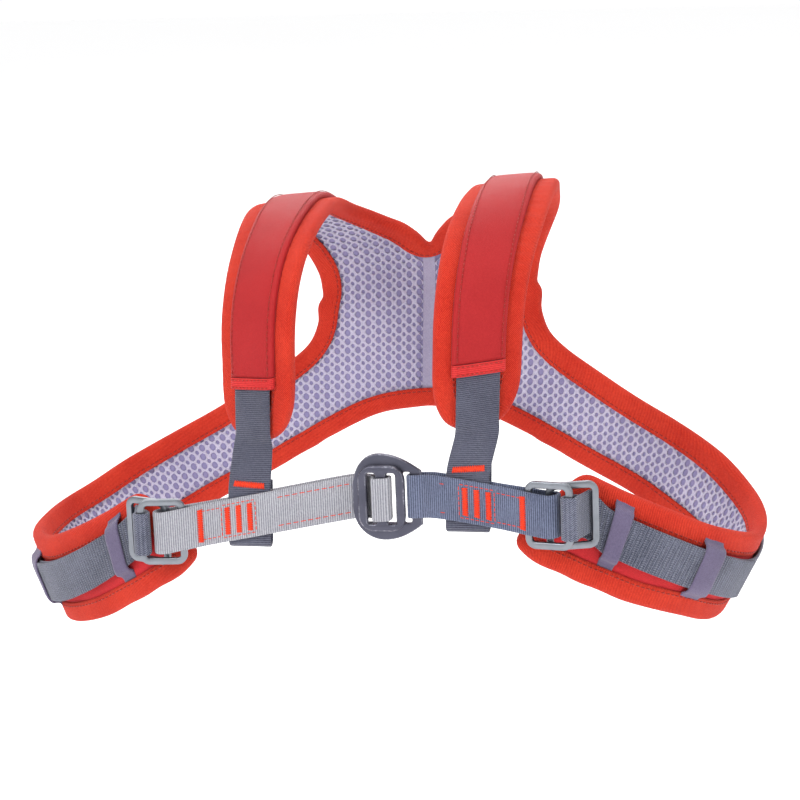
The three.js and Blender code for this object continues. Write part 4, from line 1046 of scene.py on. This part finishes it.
def ring_steel_finish():
    """Satin metal: a grey cloud and fine scratches in one direction, and slightly uneven gloss."""
    material, tree, shader = shader_of("ring_steel", 0.34, metallic=1.0)
    spot = node(tree, "TexCoord").outputs["Object"]
    stretched = node(tree, "Mapping", spot, (0, 0, 0), (0, 0, 0), (300, 300, 2600))
    scratch = noise(tree, stretched.outputs[0], 1.0, 3.0, 0.6)
    clouds = noise(tree, spot, 120.0, 3.0, 0.6)
    tone = node(tree, "MixRGB", clouds, color(116, 119, 126), color(150, 154, 161)).outputs[0]
    rough = maths(tree, "MULTIPLY_ADD", scratch, 0.25, 0.24)
    tree.links.new(rough, shader.inputs["Roughness"])
    toned(tree, shader, tone, scratch, 0.25, 0.0001)
    return material


def rounded_loop(width, height, radius, steps=9):
    """A rounded rectangle as four quarter circles, with its outward directions."""
    angle = np.concatenate([np.linspace(0, np.pi / 2, steps) + quarter * np.pi / 2 for quarter in range(4)])
    outward = np.stack([np.cos(angle), np.sin(angle)], -1)
    corner = np.repeat(np.array([(1, 1), (-1, 1), (-1, -1), (1, -1)]), steps, axis=0)
    reach = np.array([width / 2 - radius, height / 2 - radius])
    return corner * reach + outward * radius, outward


def ring_mesh(width, centre, turn):
    """A bar of rounded section carried round a rounded rectangle, then turned about the vertical."""
    path, outward = rounded_loop(width - RING_BAR, RING_HEIGHT - RING_BAR, RING_CORNER - RING_BAR / 2)
    angle = np.arange(16) * np.pi / 8
    bar = np.sign(np.cos(angle)) * np.abs(np.cos(angle)) ** 0.35 * RING_BAR / 2
    thick = np.sign(np.sin(angle)) * np.abs(np.sin(angle)) ** 0.35 * RING_THICK / 2
    flat = path[:, None] + outward[:, None] * bar[None, :, None]
    x, z = flat[..., 0], flat[..., 1]
    y = np.broadcast_to(thick, x.shape)
    cos, sin = math.cos(turn), math.sin(turn)
    points = np.stack([x * cos - y * sin, x * sin + y * cos, z], -1) + centre
    return points.reshape(-1, 3), [closed_walls(len(path), 16)]


def ring_places(side):
    """Centres of a side's rings and of their free outer bars."""
    big_half = (BIG_RING_WIDTH - RING_BAR) / 2
    small_half = (SMALL_RING_WIDTH - RING_BAR) / 2
    big_bar = np.array([BIG_RING_BAR_X, CHEST_PLANE + 1.6])
    small_bar = np.array([SMALL_RING_BAR_X, CHEST_PLANE - 1.6])
    big_ahead = np.array([math.cos(BIG_RING_TURN), math.sin(BIG_RING_TURN)])
    small_ahead = np.array([math.cos(SMALL_RING_TURN), -math.sin(SMALL_RING_TURN)])
    flat = np.array([big_bar, big_bar + big_ahead * big_half, small_bar + small_ahead * small_half,
                     big_bar + big_ahead * 2 * big_half, small_bar + small_ahead * 2 * small_half])
    held = settle(np.column_stack([side * flat[:, 0] + CHEST_SHIFT, flat[:, 1], np.full(5, RING_Z)]))
    held[1:, 2] = held[0, 2] - np.array([BIG_RING_SAG, SMALL_RING_SAG, BIG_RING_SAG, SMALL_RING_SAG])
    return held[1:]


ring_steel = ring_steel_finish()
for name, side in SIDES:
    big_centre, small_centre, big_outer, small_outer = ring_places(side)
    for kind, width, centre, turn in (
        ("large", BIG_RING_WIDTH, big_centre, side * BIG_RING_TURN),
        ("small", SMALL_RING_WIDTH, small_centre, -side * SMALL_RING_TURN),
    ):
        points, faces = ring_mesh(width, centre, turn)
        steel = piece(f"steel_ring_{kind}_{name}", points, faces, points[:, ::2], ring_steel, sharp=180)
        fitted(steel, "ring", f"ring_{kind}_{name}")

# Torso webbing
# One length of blue-grey webbing goes round the back and the wings. Each end passes forward through both
# rings, back between them, and lies on itself along the wing under two keepers.
RIGHT_WEB_LEAVES_ROW = 15.4
LEFT_WEB_LEAVES_ROW = 16
TAIL_END_ROW = 11.9


def torso_half(side):
    """Stations of one side: on the band, through the rings and back over itself on the band."""
    leaves = RIGHT_WEB_LEAVES_ROW if side > 0 else LEFT_WEB_LEAVES_ROW
    rows = even_rows(band_line, 0, leaves, 7)[1:]
    tail_rows = even_rows(band_line, TAIL_END_ROW, leaves, 7)[::-1]
    big_centre, small_centre, big_outer, small_outer = ring_places(side)
    lower, lower_up = laid(on_band, side, rows, WEB_LIFT)
    tail, tail_up = laid(on_band, side, tail_rows, TAIL_LIFT)
    z = (big_centre[2] + small_centre[2]) / 2
    inside = RING_BAR / 2 + WEB_THICK / 2 + 0.8
    outside = RING_THICK / 2 + WEB_THICK / 2 + 0.6
    near_rings = [
        # the bar that it lies by, the offset outwards and to the back, and the height
        (big_outer, -inside * 1.45, 4.9, (lower[-1, 2] + z * 2) / 3),
        (small_outer, -inside, 1.4, z),
        (small_outer, -inside, -outside * 0.5, z),
        (small_outer, -inside * 0.5, -outside, z),
        (small_outer, inside * 0.5, -outside, z),
        (small_outer, inside, -outside * 0.5, z),
        (small_outer, inside, 1.4, z),
        (big_outer, -inside - 0.2, -0.3, z),
        (big_outer, -inside + 0.6, 1.9, z),
        (big_outer, -0.5, 3.4, (tail[0, 2] + z * 2) / 3),
    ]
    free = [(bar[0] + side * x, bar[1] + y, height) for bar, x, y, height in near_rings]
    turning = unit(lower_up[-1] * 0.4 + UP * 0.6)
    free_up = [turning, *[UP] * (len(free) - 2), turning]
    return np.concatenate([lower, free, tail]), np.concatenate([lower_up, free_up, tail_up])


left_points, left_up = torso_half(-1)
right_points, right_up = torso_half(1)
centre_point = on_band(1, np.array([0.0]), 0, WEB_LIFT)
torso_line = web_line(
    np.concatenate([left_points[::-1], centre_point, right_points]),
    np.concatenate([left_up[::-1], [UP], right_up]),
)
torso_weave = cloth("torso_weave", color(50, 54, 70), color(134, 137, 156), 0.75, 0.0006,
                    crossed_ribs(1.25, 2.1))
webbing("torso_web", torso_line, torso_weave, "webbing_blue", "torso_webbing")

# Chest straps
# Two closed loops of webbing join the buckle to the rings: silver webbing on the left round the toggle's
# bar, and blue-grey webbing on the right round the frame's bar. Each is folded round its inner ring bars.
FOLD_SPREAD = 5.3
FRAME_LEFT = BUCKLE_X - FRAME_WIDTH / 2
FRAME_RIGHT = BUCKLE_X + FRAME_WIDTH / 2
FRAME_BAR = 6
FRAME_SIDE = 6
SLOT_RIGHT = FRAME_RIGHT - FRAME_BAR
PLATE_THICK = 3
TOGGLE_WIDTH = 27
TOGGLE_THICK = 4
TOGGLE_BAR = 6.4
FRAME_BACK = CHEST_PLANE - PLY_SPREAD - WEB_THICK / 2 - 0.6
FRAME_FRONT = FRAME_BACK - PLATE_THICK
TOGGLE_BACK = FRAME_FRONT - LAYER_GAP
TOGGLE_FRONT = TOGGLE_BACK - TOGGLE_THICK
TOGGLE_X = FRAME_RIGHT - FRAME_BAR - WEB_THICK - 1 - TOGGLE_WIDTH / 2
FRONT_PLY = CHEST_PLANE - PLY_SPREAD
BACK_PLY = CHEST_PLANE + PLY_SPREAD


def ring_fold(side):
    """The round fold at the rings: half a circle from the back ply to the front ply."""
    angle = np.pi * (np.arange(5) / 4 - 0.5)
    centre = side * (BIG_RING_BAR_X + 0.6) + CHEST_SHIFT
    x = centre + side * FOLD_SPREAD * np.cos(angle)
    return list(zip(x, CHEST_PLANE - FOLD_SPREAD * np.sin(angle)))


def bar_corner(x, y, sideways, faceways):
    """Three points of the webbing's centre line round the edge of a bar, from its side to its face."""
    turn = WEB_THICK / 2 + LAYER_GAP
    return [
        (x + sideways * (turn + 0.2), y - faceways * 0.2),
        (x + sideways * turn * 0.82, y + faceways * turn * 0.82),
        (x - sideways * 0.3, y + faceways * (turn + 0.3)),
    ]


def chest_line(plan_points):
    """A closed loop of two plies from its points in plan, at the chest strap's own height."""
    flat = np.array(plan_points, float)
    points = settle(np.column_stack([flat, chest_height(flat[:, 0])]))
    return web_line(points, np.tile(UP, (len(points), 1)), step=0.8, closed=True)


small_left = -SMALL_RING_BAR_X + CHEST_SHIFT
small_right = SMALL_RING_BAR_X + CHEST_SHIFT
bar_left = TOGGLE_X - TOGGLE_BAR / 2
bar_right = TOGGLE_X + TOGGLE_BAR / 2
silver_line = chest_line([
    *ring_fold(-1),
    (small_left, FRONT_PLY - 1.9),
    (small_left + 16, FRONT_PLY - 0.2),
    (small_left + 50, FRONT_PLY),
    (FRAME_LEFT - 12, FRONT_PLY),
    (FRAME_LEFT + 2, FRONT_PLY),
    (FRAME_LEFT + FRAME_SIDE + 1, FRONT_PLY - 0.2),
    (bar_left - 3.4, FRONT_PLY - 2.6),
    (bar_left - 1.9, (FRONT_PLY + TOGGLE_FRONT) / 2 - 0.6),
    *bar_corner(bar_left, TOGGLE_FRONT, -1, -1),
    *bar_corner(bar_right, TOGGLE_FRONT, 1, -1)[::-1],
    *bar_corner(bar_right, TOGGLE_BACK, 1, 1),
    (bar_left + 1.7, FRONT_PLY - 1.2),
    (bar_left - 3.3, BACK_PLY - 4.4),
    (FRAME_LEFT + 2, BACK_PLY - 1.4),
    (FRAME_LEFT - 4, BACK_PLY),
    (small_left + 50, BACK_PLY),
    (small_left + 16, BACK_PLY + 0.2),
    (small_left, BACK_PLY + 1.6),
])
blue_line = chest_line([
    *ring_fold(1),
    (small_right, FRONT_PLY - 1.9),
    (small_right - 16, FRONT_PLY - 0.2),
    (small_right - 40, FRONT_PLY - 0.2),
    (FRAME_RIGHT + 5, FRONT_PLY - 2.6),
    (FRAME_RIGHT - 1, FRAME_FRONT - WEB_THICK / 2 - LAYER_GAP * 2),
    *bar_corner(SLOT_RIGHT, FRAME_FRONT, -1, -1)[::-1],
    *bar_corner(SLOT_RIGHT, FRAME_BACK, -1, 1),
    (FRAME_RIGHT, FRAME_BACK + WEB_THICK / 2 + LAYER_GAP * 2 + 0.6),
    (FRAME_RIGHT + 6, BACK_PLY - 1),
    (small_right - 40, BACK_PLY),
    (small_right - 16, BACK_PLY + 0.2),
    (small_right, BACK_PLY + 1.6),
])
silver_rib = cloth("silver_rib", color(126, 126, 136), color(192, 192, 199), 0.6, 0.0005, ribbed(1.35),
                   cloud=0.12)
blue_rib = cloth("blue_rib", color(61, 67, 89), color(126, 134, 160), 0.7, 0.0004, ribbed(1.2))
webbing("silver_chest_web", silver_line, silver_rib, "webbing_silver", "chest_webbing_left", closed=True)
webbing("blue_chest_web", blue_line, blue_rib, "webbing_blue", "chest_webbing_right", closed=True)

# Shoulder sleeves and hems
# A smooth red cover lies over the shoulder webbing on each strap, sewn down along both sides. A narrow
# folded hem closes its front end.
SLEEVE_THICK = 0.8
SLEEVE_WIDTH = 28.8
SLEEVE_SHOULDER = 0.9
SLEEVE_FOOT = TAPE_TOP + LAYER_GAP
SLEEVE_TOP = WEB_LIFT + WEB_THICK / 2 + LAYER_GAP + SLEEVE_THICK
HEM_ROW = 11.7
HEM_LENGTH = 10
HEM_PROUD = 0.5


def softened(left_half, times=3):
    """A line from its left foot to its crown and on in mirror image, with each corner cut at a quarter of
    its sides, several times; its ends stay."""
    line = np.array([*left_half, *[(-x, z) for x, z in left_half[-2::-1]]], float)
    for _ in range(times):
        cut = np.stack([line[:-1] * 0.75 + line[1:] * 0.25, line[:-1] * 0.25 + line[1:] * 0.75], 1)
        line = np.concatenate([line[:1], cut.reshape(-1, 2)[1:-1], line[-1:]])
    return line


def cover_section(half, foot, top, thick, shoulder):
    """A raised cover: an outer line from foot to foot over two round shoulders, and the inner one."""
    rise = (-half + shoulder * 0.4, top)
    outer = softened([(-half, foot), rise, (0, top + 0.15)])
    inner = softened([(-half + thick, foot), (rise[0] + thick, top - thick), (0, top + 0.15 - thick)])
    return np.concatenate([outer, inner[::-1]])


def covered(name, on, side, rows, outline, ripple_of, material, slot_name, node_name):
    """A cover carried along rows of the pad, with a ripple that grows towards its crown."""
    w = outline[:, 0][None]
    lift = outline[:, 1][None]
    middle = on(side, rows, 0, lift.max())
    walked = lengths_along(middle)
    crown = np.clip((lift - lift.min()) / (lift.max() - lift.min()), 0, 1)
    rings = on(side, rows[:, None], w, lift + ripple_of(walked[:, None], w) * crown)
    points, faces, run = swept(rings, walked, outline[:, 0])
    return fitted(piece(name, points, faces, run, material, sharp=180), slot_name, node_name)


def row_before(row, length):
    """The row of the strap that lies so many millimetres before another."""
    step = np.linalg.norm(strap_middle(np.array(row)) - strap_middle(np.array(row - 1)))
    return row - length / step


def sleeve_ripple(along, across):
    """Long soft wrinkles, slanted a little and strongest near the sides."""
    return 0.14 * np.sin(along / 5.5 + across / 6) * np.abs(across / 14) + 0.1 * np.sin(along / 13 + 1)


def hem_ripple(along, across):
    """A slight swell."""
    return 0.06 * np.sin(across / 3)


sleeve_nylon = cloth("sleeve_nylon", color(157, 28, 32), color(186, 42, 44), 0.55, 0.00012, plain_weave(0.6),
                     sheen=0.04)
hem_tape = cloth("hem_tape", color(185, 35, 37), color(227, 65, 63), 0.65, 0.0003, ribbed(1.1), sheen=0.04)
half_sleeve = SLEEVE_WIDTH / 2
for name, side in SIDES:
    end_row = row_before(HEM_ROW, HEM_LENGTH + LAYER_GAP)
    rows = even_rows(strap_line, SLEEVE_START_ROW, end_row, 2.2)
    outline = cover_section(half_sleeve, SLEEVE_FOOT, SLEEVE_TOP, SLEEVE_THICK, SLEEVE_SHOULDER)
    covered(f"sleeve_cover_{name}", on_strap, side, rows, outline, sleeve_ripple, sleeve_nylon, "sleeve",
            f"shoulder_sleeve_{name}")
    hem_rows = even_rows(strap_line, row_before(HEM_ROW, HEM_LENGTH), HEM_ROW, 1.2)
    outline = cover_section(half_sleeve + HEM_PROUD * 0.2, SLEEVE_FOOT, SLEEVE_TOP + HEM_PROUD, SLEEVE_THICK,
                            SLEEVE_SHOULDER)
    covered(f"hem_band_{name}", on_strap, side, hem_rows, outline, hem_ripple, hem_tape, "hem",
            f"sleeve_hem_{name}")

# Thread work
# Orange bartacks and running stitches hold the plies of the chest straps and the ends of the shoulder
# webbing. On each strap three plain zigzag bars stand in a stitched rectangle. Red seams edge the sleeves.
PLY_BLOCKS = [
    # the strap, then in x the middle of the rectangle, the lone bar and the ends of the running stitches
    (silver_line, -71.2, -94.3, (-48.5, -4)),
    (blue_line, 68.3, 94.6, (46, 50)),
]
BLOCK_REACH = 10.2
BLOCK_HALF = 9.6
BAR_SPREAD = 0.66
INNER_HALF = BLOCK_HALF - 1.6
ZIGZAG_PITCH = 1.05
WEB_FACE = WEB_THICK * 0.47
SLEEVE_SEAM_INSET = 2.6
HEM_SEAM_INSET = 2
HEM_SEAMS = (1.8, HEM_LENGTH - 1.6)
RUN_HALF = 8.3
BAR_WIDTH = 3.6


def on_ply(line):
    """The front ply of a chest strap as a function of x, height across it and how proud of its face."""
    _, centre, across, normal = line
    away = np.abs(centre[:, 0] - BUCKLE_X)
    first = away[: len(away) // 4].argmax()
    last = np.argmax((away < FRAME_WIDTH / 2 + 2) & (np.arange(len(away)) > first))
    order = np.argsort(centre[first:last, 0]) + first

    def at(x, height, proud):
        middle, up, face = [
            between(x, centre[order, 0], values[order]) for values in (centre, across, normal)
        ]
        face = face * -np.sign(face[..., 1:2])
        return middle + up * height[..., None] + face * (WEB_FACE + proud)
    return at


def with_normals(point_of, path, proud):
    """Points of a flat path on a surface, and the normals there from points a millimetre further out."""
    points = point_of(path[:, 0], path[:, 1], proud)
    return points, unit(point_of(path[:, 0], path[:, 1], proud + 1) - points)


def zigzag(point_of, start, end):
    """A bartack: threads that go from side to side of a bar while they go along it."""
    start, end = np.array(start, float), np.array(end, float)
    length = np.linalg.norm(end - start)
    count = int(2 * length / ZIGZAG_PITCH)
    ahead = (end - start) / length
    swing = np.where(np.arange(count + 1) % 2, 0.5, -0.5) * BAR_WIDTH
    aside = np.array([-ahead[1], ahead[0]])
    path = start + np.linspace(0, length, count + 1)[:, None] * ahead + swing[:, None] * aside
    points, normals = with_normals(point_of, path, 0.15)
    return points[:-1], points[1:], normals[:-1]


def running(point_of, start, end, length=2.2, gap=0.7):
    """Running stitches in a straight line on a surface."""
    start, end = np.array(start, float), np.array(end, float)
    path = start + np.linspace(0, 1, 80)[:, None] * (end - start)
    return stitch_row(*with_normals(point_of, path, 0.05), length, gap)


def on_hanging(line, level):
    """The front of a shoulder webbing near a height, as a function of offset across, height and how proud."""
    _, centre, across, normal = line
    first = np.argmax(centre[:, 2] < level + 30)
    last = np.argmin(centre[:, 2])
    order = np.arange(first, last)[::-1]

    def at(offset, height, proud):
        middle, out, face = [
            between(height, centre[order, 2], values[order]) for values in (centre, across, normal)
        ]
        out = out * np.sign(out[..., :1])
        face = face * -np.sign(face[..., 1:2])
        return middle + out * offset[..., None] + face * (WEB_FACE + proud)
    return at


orange_thread = cloth("orange_thread", color(214, 40, 20), color(255, 84, 54), 0.55, 0.00008, twist_pattern,
                      sheen=0.0)
bartack_rows = []
run_rows = []
for line, middle, bar_x, (run_start, run_end) in PLY_BLOCKS:
    point_of = on_ply(line)
    for shift in (-BAR_SPREAD, 0, BAR_SPREAD):
        x = middle + shift * BLOCK_REACH
        bartack_rows.append(zigzag(point_of, (x, -INNER_HALF), (x, INNER_HALF)))
    bartack_rows.append(zigzag(point_of, (bar_x, -BLOCK_HALF), (bar_x, BLOCK_HALF)))
    low_x, high_x = middle - BLOCK_REACH, middle + BLOCK_REACH
    inner_side = middle + math.copysign(BLOCK_REACH, bar_x)
    for height in (-BLOCK_HALF, BLOCK_HALF):
        run_rows.append(running(point_of, (low_x, height), (high_x, height)))
        run_rows.append(running(point_of, (inner_side, height * 0.88), (bar_x, height * 0.88)))
    for x in (low_x, high_x):
        run_rows.append(running(point_of, (x, -BLOCK_HALF), (x, BLOCK_HALF)))
    for height in (-RUN_HALF, RUN_HALF):
        run_rows.append(running(point_of, (run_start, height), (run_end, height), 3.4, 1.1))
for name, side in SIDES:
    hung_x = side * SHOULDER_WEB_X + SHOULDER_WEB_SHIFT
    level = settle(np.array([hung_x, CHEST_PLANE, chest_height(hung_x)]))[2] + WEB_WIDTH / 2 + 5.5
    point_of = on_hanging(shoulder_lines[name], level)
    bartack_rows.append(zigzag(point_of, (-9, level - side * 0.6), (9, level + side * 0.6)))
sewn("bartacks", bartack_rows, orange_thread, 0.7)
sewn("strap_stitches", run_rows, orange_thread, 0.45)

seam_rows = []
for side in (1, -1):
    end_row = row_before(HEM_ROW, HEM_LENGTH + LAYER_GAP)
    rows = even_rows(strap_line, SLEEVE_START_ROW, end_row, 3)
    for offset in (-half_sleeve + SLEEVE_SEAM_INSET, half_sleeve - SLEEVE_SEAM_INSET):
        surface = on_strap(side, rows, offset, SLEEVE_TOP + 0.1)
        seam_rows.append(stitch_row(surface, unit(on_strap(side, rows, offset, SLEEVE_TOP + 1) - surface)))
    across_hem = np.linspace(-half_sleeve + HEM_SEAM_INSET, half_sleeve - HEM_SEAM_INSET, 24)
    for length in HEM_SEAMS:
        row = np.full(len(across_hem), row_before(HEM_ROW, length))
        surface = on_strap(side, row, across_hem, SLEEVE_TOP + HEM_PROUD + 0.1)
        above = on_strap(side, row, across_hem, SLEEVE_TOP + HEM_PROUD + 1)
        seam_rows.append(stitch_row(surface, unit(above - surface), 2.0, 0.7))
sewn("sleeve_stitches", seam_rows, red_thread, 0.5)

# Keepers
# Short loops of purple-grey tape are sewn over both plies of the torso webbing on each wing, one near
# the rings and one at the side.
KEEPER_THICK = 1
KEEPER_MARGIN = 1.2
KEEPER_FLANGE = 4
KEEPER_ROWS = {
    # the rows of the band between which each loop lies, the front one and then the rear one
    "right": ((14.75, 15.3), (12.75, 13.15)),
    "left": ((15.15, 15.9), (12.2, 12.65)),
}


def keeper_section():
    """A strip over the webbing whose ends run down to the pad and under the binding: outer line, then
    inner line."""
    half = WEB_WIDTH / 2 + LAYER_GAP
    foot = half + KEEPER_THICK + KEEPER_MARGIN
    top = TAIL_LIFT + WEB_THICK / 2 + LAYER_GAP + KEEPER_THICK
    seat = SHELL_BASE + SHELL_RIM
    tip = -foot - KEEPER_FLANGE
    under = top - KEEPER_THICK
    outer = [(tip, seat + KEEPER_THICK), (-foot, seat + 2.4), (-half, top), (0, top)]
    inner = [(tip, seat), (-foot + 0.4, seat + 1.2), (-half + 0.5, under), (0, under)]
    return np.concatenate([softened(outer, 2), softened(inner, 2)[::-1]])


keeper_tape = cloth("keeper_tape", color(87, 79, 106), color(125, 115, 143), 0.85, 0.0002, plain_weave(0.8))
for name, side in SIDES:
    for kind, (first, last) in zip(("front", "rear"), KEEPER_ROWS[name]):
        rows = even_rows(band_line, first, last, 1.2)
        covered(f"keeper_loop_{kind}_{name}", on_band, side, rows, keeper_section(), hem_ripple, keeper_tape,
                "keeper", f"keeper_{kind}_{name}")

# Buckle
# Two dark anodised plates: an egg-shaped frame with a slot for the blue webbing, and a toggle with a bar
# that the silver webbing wraps. The toggle has been slipped through the frame and lies flat on it. Along
# the edges the anodising is painted paler in specks: worn bright metal and a painted highlight on the bevels.
FRAME_HEIGHT = 50
TOGGLE_HEIGHT = 38
TOGGLE_CORNER = 8.5
TOGGLE_SIDE = 5.2
SLOT_WIDTH = 4.6
SLOT_BRIDGE = 2.4
WINDOW_HEIGHT = WEB_WIDTH + 4.6
WINDOW_CORNER = 3
SLOT_CORNER = 1.6
TOGGLE_WINDOW_CORNER = 1.5
FRAME_BEVEL = 0.7
TOGGLE_BEVEL = 1.1


def buckle_finish():
    """Dark anodised alloy with a faint sparkle; pale specks along the bevels give worn bright metal and a
    painted highlight.
    """
    material, tree, shader = shader_of("buckle_anodised", 0.42, metallic=0.75)
    spot = node(tree, "TexCoord").outputs["Object"]
    clouds = noise(tree, spot, 90.0, 4.0, 0.6)
    specks = noise(tree, spot, 700.0, 3.0, 0.7)
    wear_and_highlight = node(tree, "Attribute", attribute_name="wear_and_highlight").outputs["Fac"]
    dark = node(tree, "MixRGB", clouds, color(69, 69, 82), color(92, 92, 106)).outputs[0]
    amount = maths(tree, "ADD", maths(tree, "MULTIPLY", specks, 0.9), maths(tree, "MULTIPLY", clouds, 0.9))
    amount = maths(tree, "MULTIPLY", wear_and_highlight, maths(tree, "SUBTRACT", amount, 0.84))
    amount = node(tree, "Clamp", maths(tree, "MULTIPLY", amount, 2.4)).outputs[0]
    # The pale colour is worn metal and a painted highlight on the bevels.
    tone = node(tree, "MixRGB", amount, dark, color(164, 164, 175)).outputs[0]
    toned(tree, shader, tone, specks, 0.2, 0.0001)
    return material


def bezier(p0, p1, p2, p3, steps=12):
    """Points of a cubic curve, without its last."""
    t = np.linspace(0, 1, steps, endpoint=False)[:, None]
    p0, p1, p2, p3 = [np.array(p, float) for p in (p0, p1, p2, p3)]
    return (1 - t) ** 3 * p0 + 3 * t * (1 - t) ** 2 * p1 + 3 * t**2 * (1 - t) * p2 + t**3 * p3


def plate(name, outlines, back, thick, bevel, centre, node_name):
    """A plate from an outline and its holes in X and Z: a filled flat curve with a round bevel, stood up
    and moved to its place, as one mesh. Its mask of wear and painted highlight is 1 on the bevels and 0 on
    the faces."""
    curve = bpy.data.curves.new(name, "CURVE")
    curve.dimensions = "2D"
    curve.fill_mode = "BOTH"
    curve.extrude = (thick / 2 - bevel) / 1000
    curve.bevel_depth = bevel / 1000
    curve.bevel_resolution = 3
    curve.offset = -bevel / 1000
    for outline in outlines:
        spline = curve.splines.new("POLY")
        spline.points.add(len(outline) - 1)
        flat = np.column_stack([outline / 1000, np.zeros(len(outline)), np.ones(len(outline))])
        spline.points.foreach_set("co", flat.ravel())
        spline.use_cyclic_u = True
    carrier = added(name + "_outline", curve)
    bpy.context.view_layer.update()
    mesh = bpy.data.meshes.new_from_object(carrier.evaluated_get(bpy.context.evaluated_depsgraph_get()))
    bpy.data.objects.remove(carrier)
    work = bmesh.new()
    work.from_mesh(mesh)
    bmesh.ops.remove_doubles(work, verts=work.verts, dist=2e-6)
    bmesh.ops.recalc_face_normals(work, faces=work.faces)
    work.to_mesh(mesh)
    work.free()
    flat = np.zeros(len(mesh.vertices) * 3)
    mesh.vertices.foreach_get("co", flat)
    x, y, z = flat.reshape(-1, 3).T
    stood = np.stack([x, -z + (back - thick / 2) / 1000, y], -1) + np.array([centre[0], 0, centre[2]]) / 1000
    mesh.vertices.foreach_set("co", stood.ravel())
    mesh.update()
    edge = np.clip((np.abs(z) * 1000 - (thick / 2 - bevel)) / bevel, 0, 1)
    # 1 where the bevels take worn metal and a painted highlight, 0 on the flat faces.
    wear_and_highlight = np.where(edge > 0.97, 0.0, 1.0)
    held = mesh.attributes.new("wear_and_highlight", "FLOAT", "POINT")
    held.data.foreach_set("value", wear_and_highlight)
    mesh.name = name
    return fitted(finished(name, mesh, buckle_metal, 35), "buckle", node_name)


def rounded_box(x0, x1, z0, z1, radius):
    """A rounded rectangle between two corners."""
    path, _ = rounded_loop(x1 - x0, z1 - z0, radius)
    return path + np.array([(x0 + x1) / 2, (z0 + z1) / 2])


buckle_metal = buckle_finish()
w = FRAME_WIDTH / 2
h = FRAME_HEIGHT / 2
egg = np.concatenate([
    [(-w, h * 0.24)],
    bezier((-w, -h * 0.24), (-w, -h * 0.7), (-w * 0.6, -h), (-w * 0.1, -h)),
    bezier((-w * 0.1, -h), (w * 0.35, -h), (w * 0.75, -h * 0.78), (w, -h * 0.62)),
    [(w, -h * 0.62)],
    bezier((w, h * 0.62), (w * 0.7, h * 0.78), (w * 0.3, h), (-w * 0.2, h)),
    bezier((-w * 0.2, h), (-w * 0.65, h), (-w * 0.95, h * 0.7), (-w, h * 0.24)),
])
slot_right = SLOT_RIGHT - BUCKLE_X
slot_left = slot_right - SLOT_WIDTH
open_half = WINDOW_HEIGHT / 2
buckle_seat = settle(np.array([BUCKLE_X, CHEST_PLANE, BUCKLE_Z]))
frame_holes = [
    rounded_box(-w + FRAME_SIDE, slot_left - SLOT_BRIDGE, -open_half, open_half, WINDOW_CORNER),
    rounded_box(slot_left, slot_right, -open_half, open_half, SLOT_CORNER),
]
plate("buckle_frame_plate", [egg, *frame_holes], FRAME_BACK, PLATE_THICK, FRAME_BEVEL, buckle_seat,
      "buckle_frame")
half_toggle = TOGGLE_WIDTH / 2
half_bar = TOGGLE_BAR / 2
toggle_outlines = [
    rounded_box(-half_toggle, half_toggle, -TOGGLE_HEIGHT / 2, TOGGLE_HEIGHT / 2, TOGGLE_CORNER),
    rounded_box(-half_toggle + TOGGLE_SIDE, -half_bar, -open_half, open_half, TOGGLE_WINDOW_CORNER),
    rounded_box(half_bar, half_toggle - TOGGLE_SIDE, -open_half, open_half, TOGGLE_WINDOW_CORNER),
]
toggle_seat = buckle_seat + np.array([TOGGLE_X - BUCKLE_X, 0, 0])
plate("buckle_toggle_plate", toggle_outlines, TOGGLE_BACK, TOGGLE_THICK, TOGGLE_BEVEL, toggle_seat,
      "buckle_toggle")
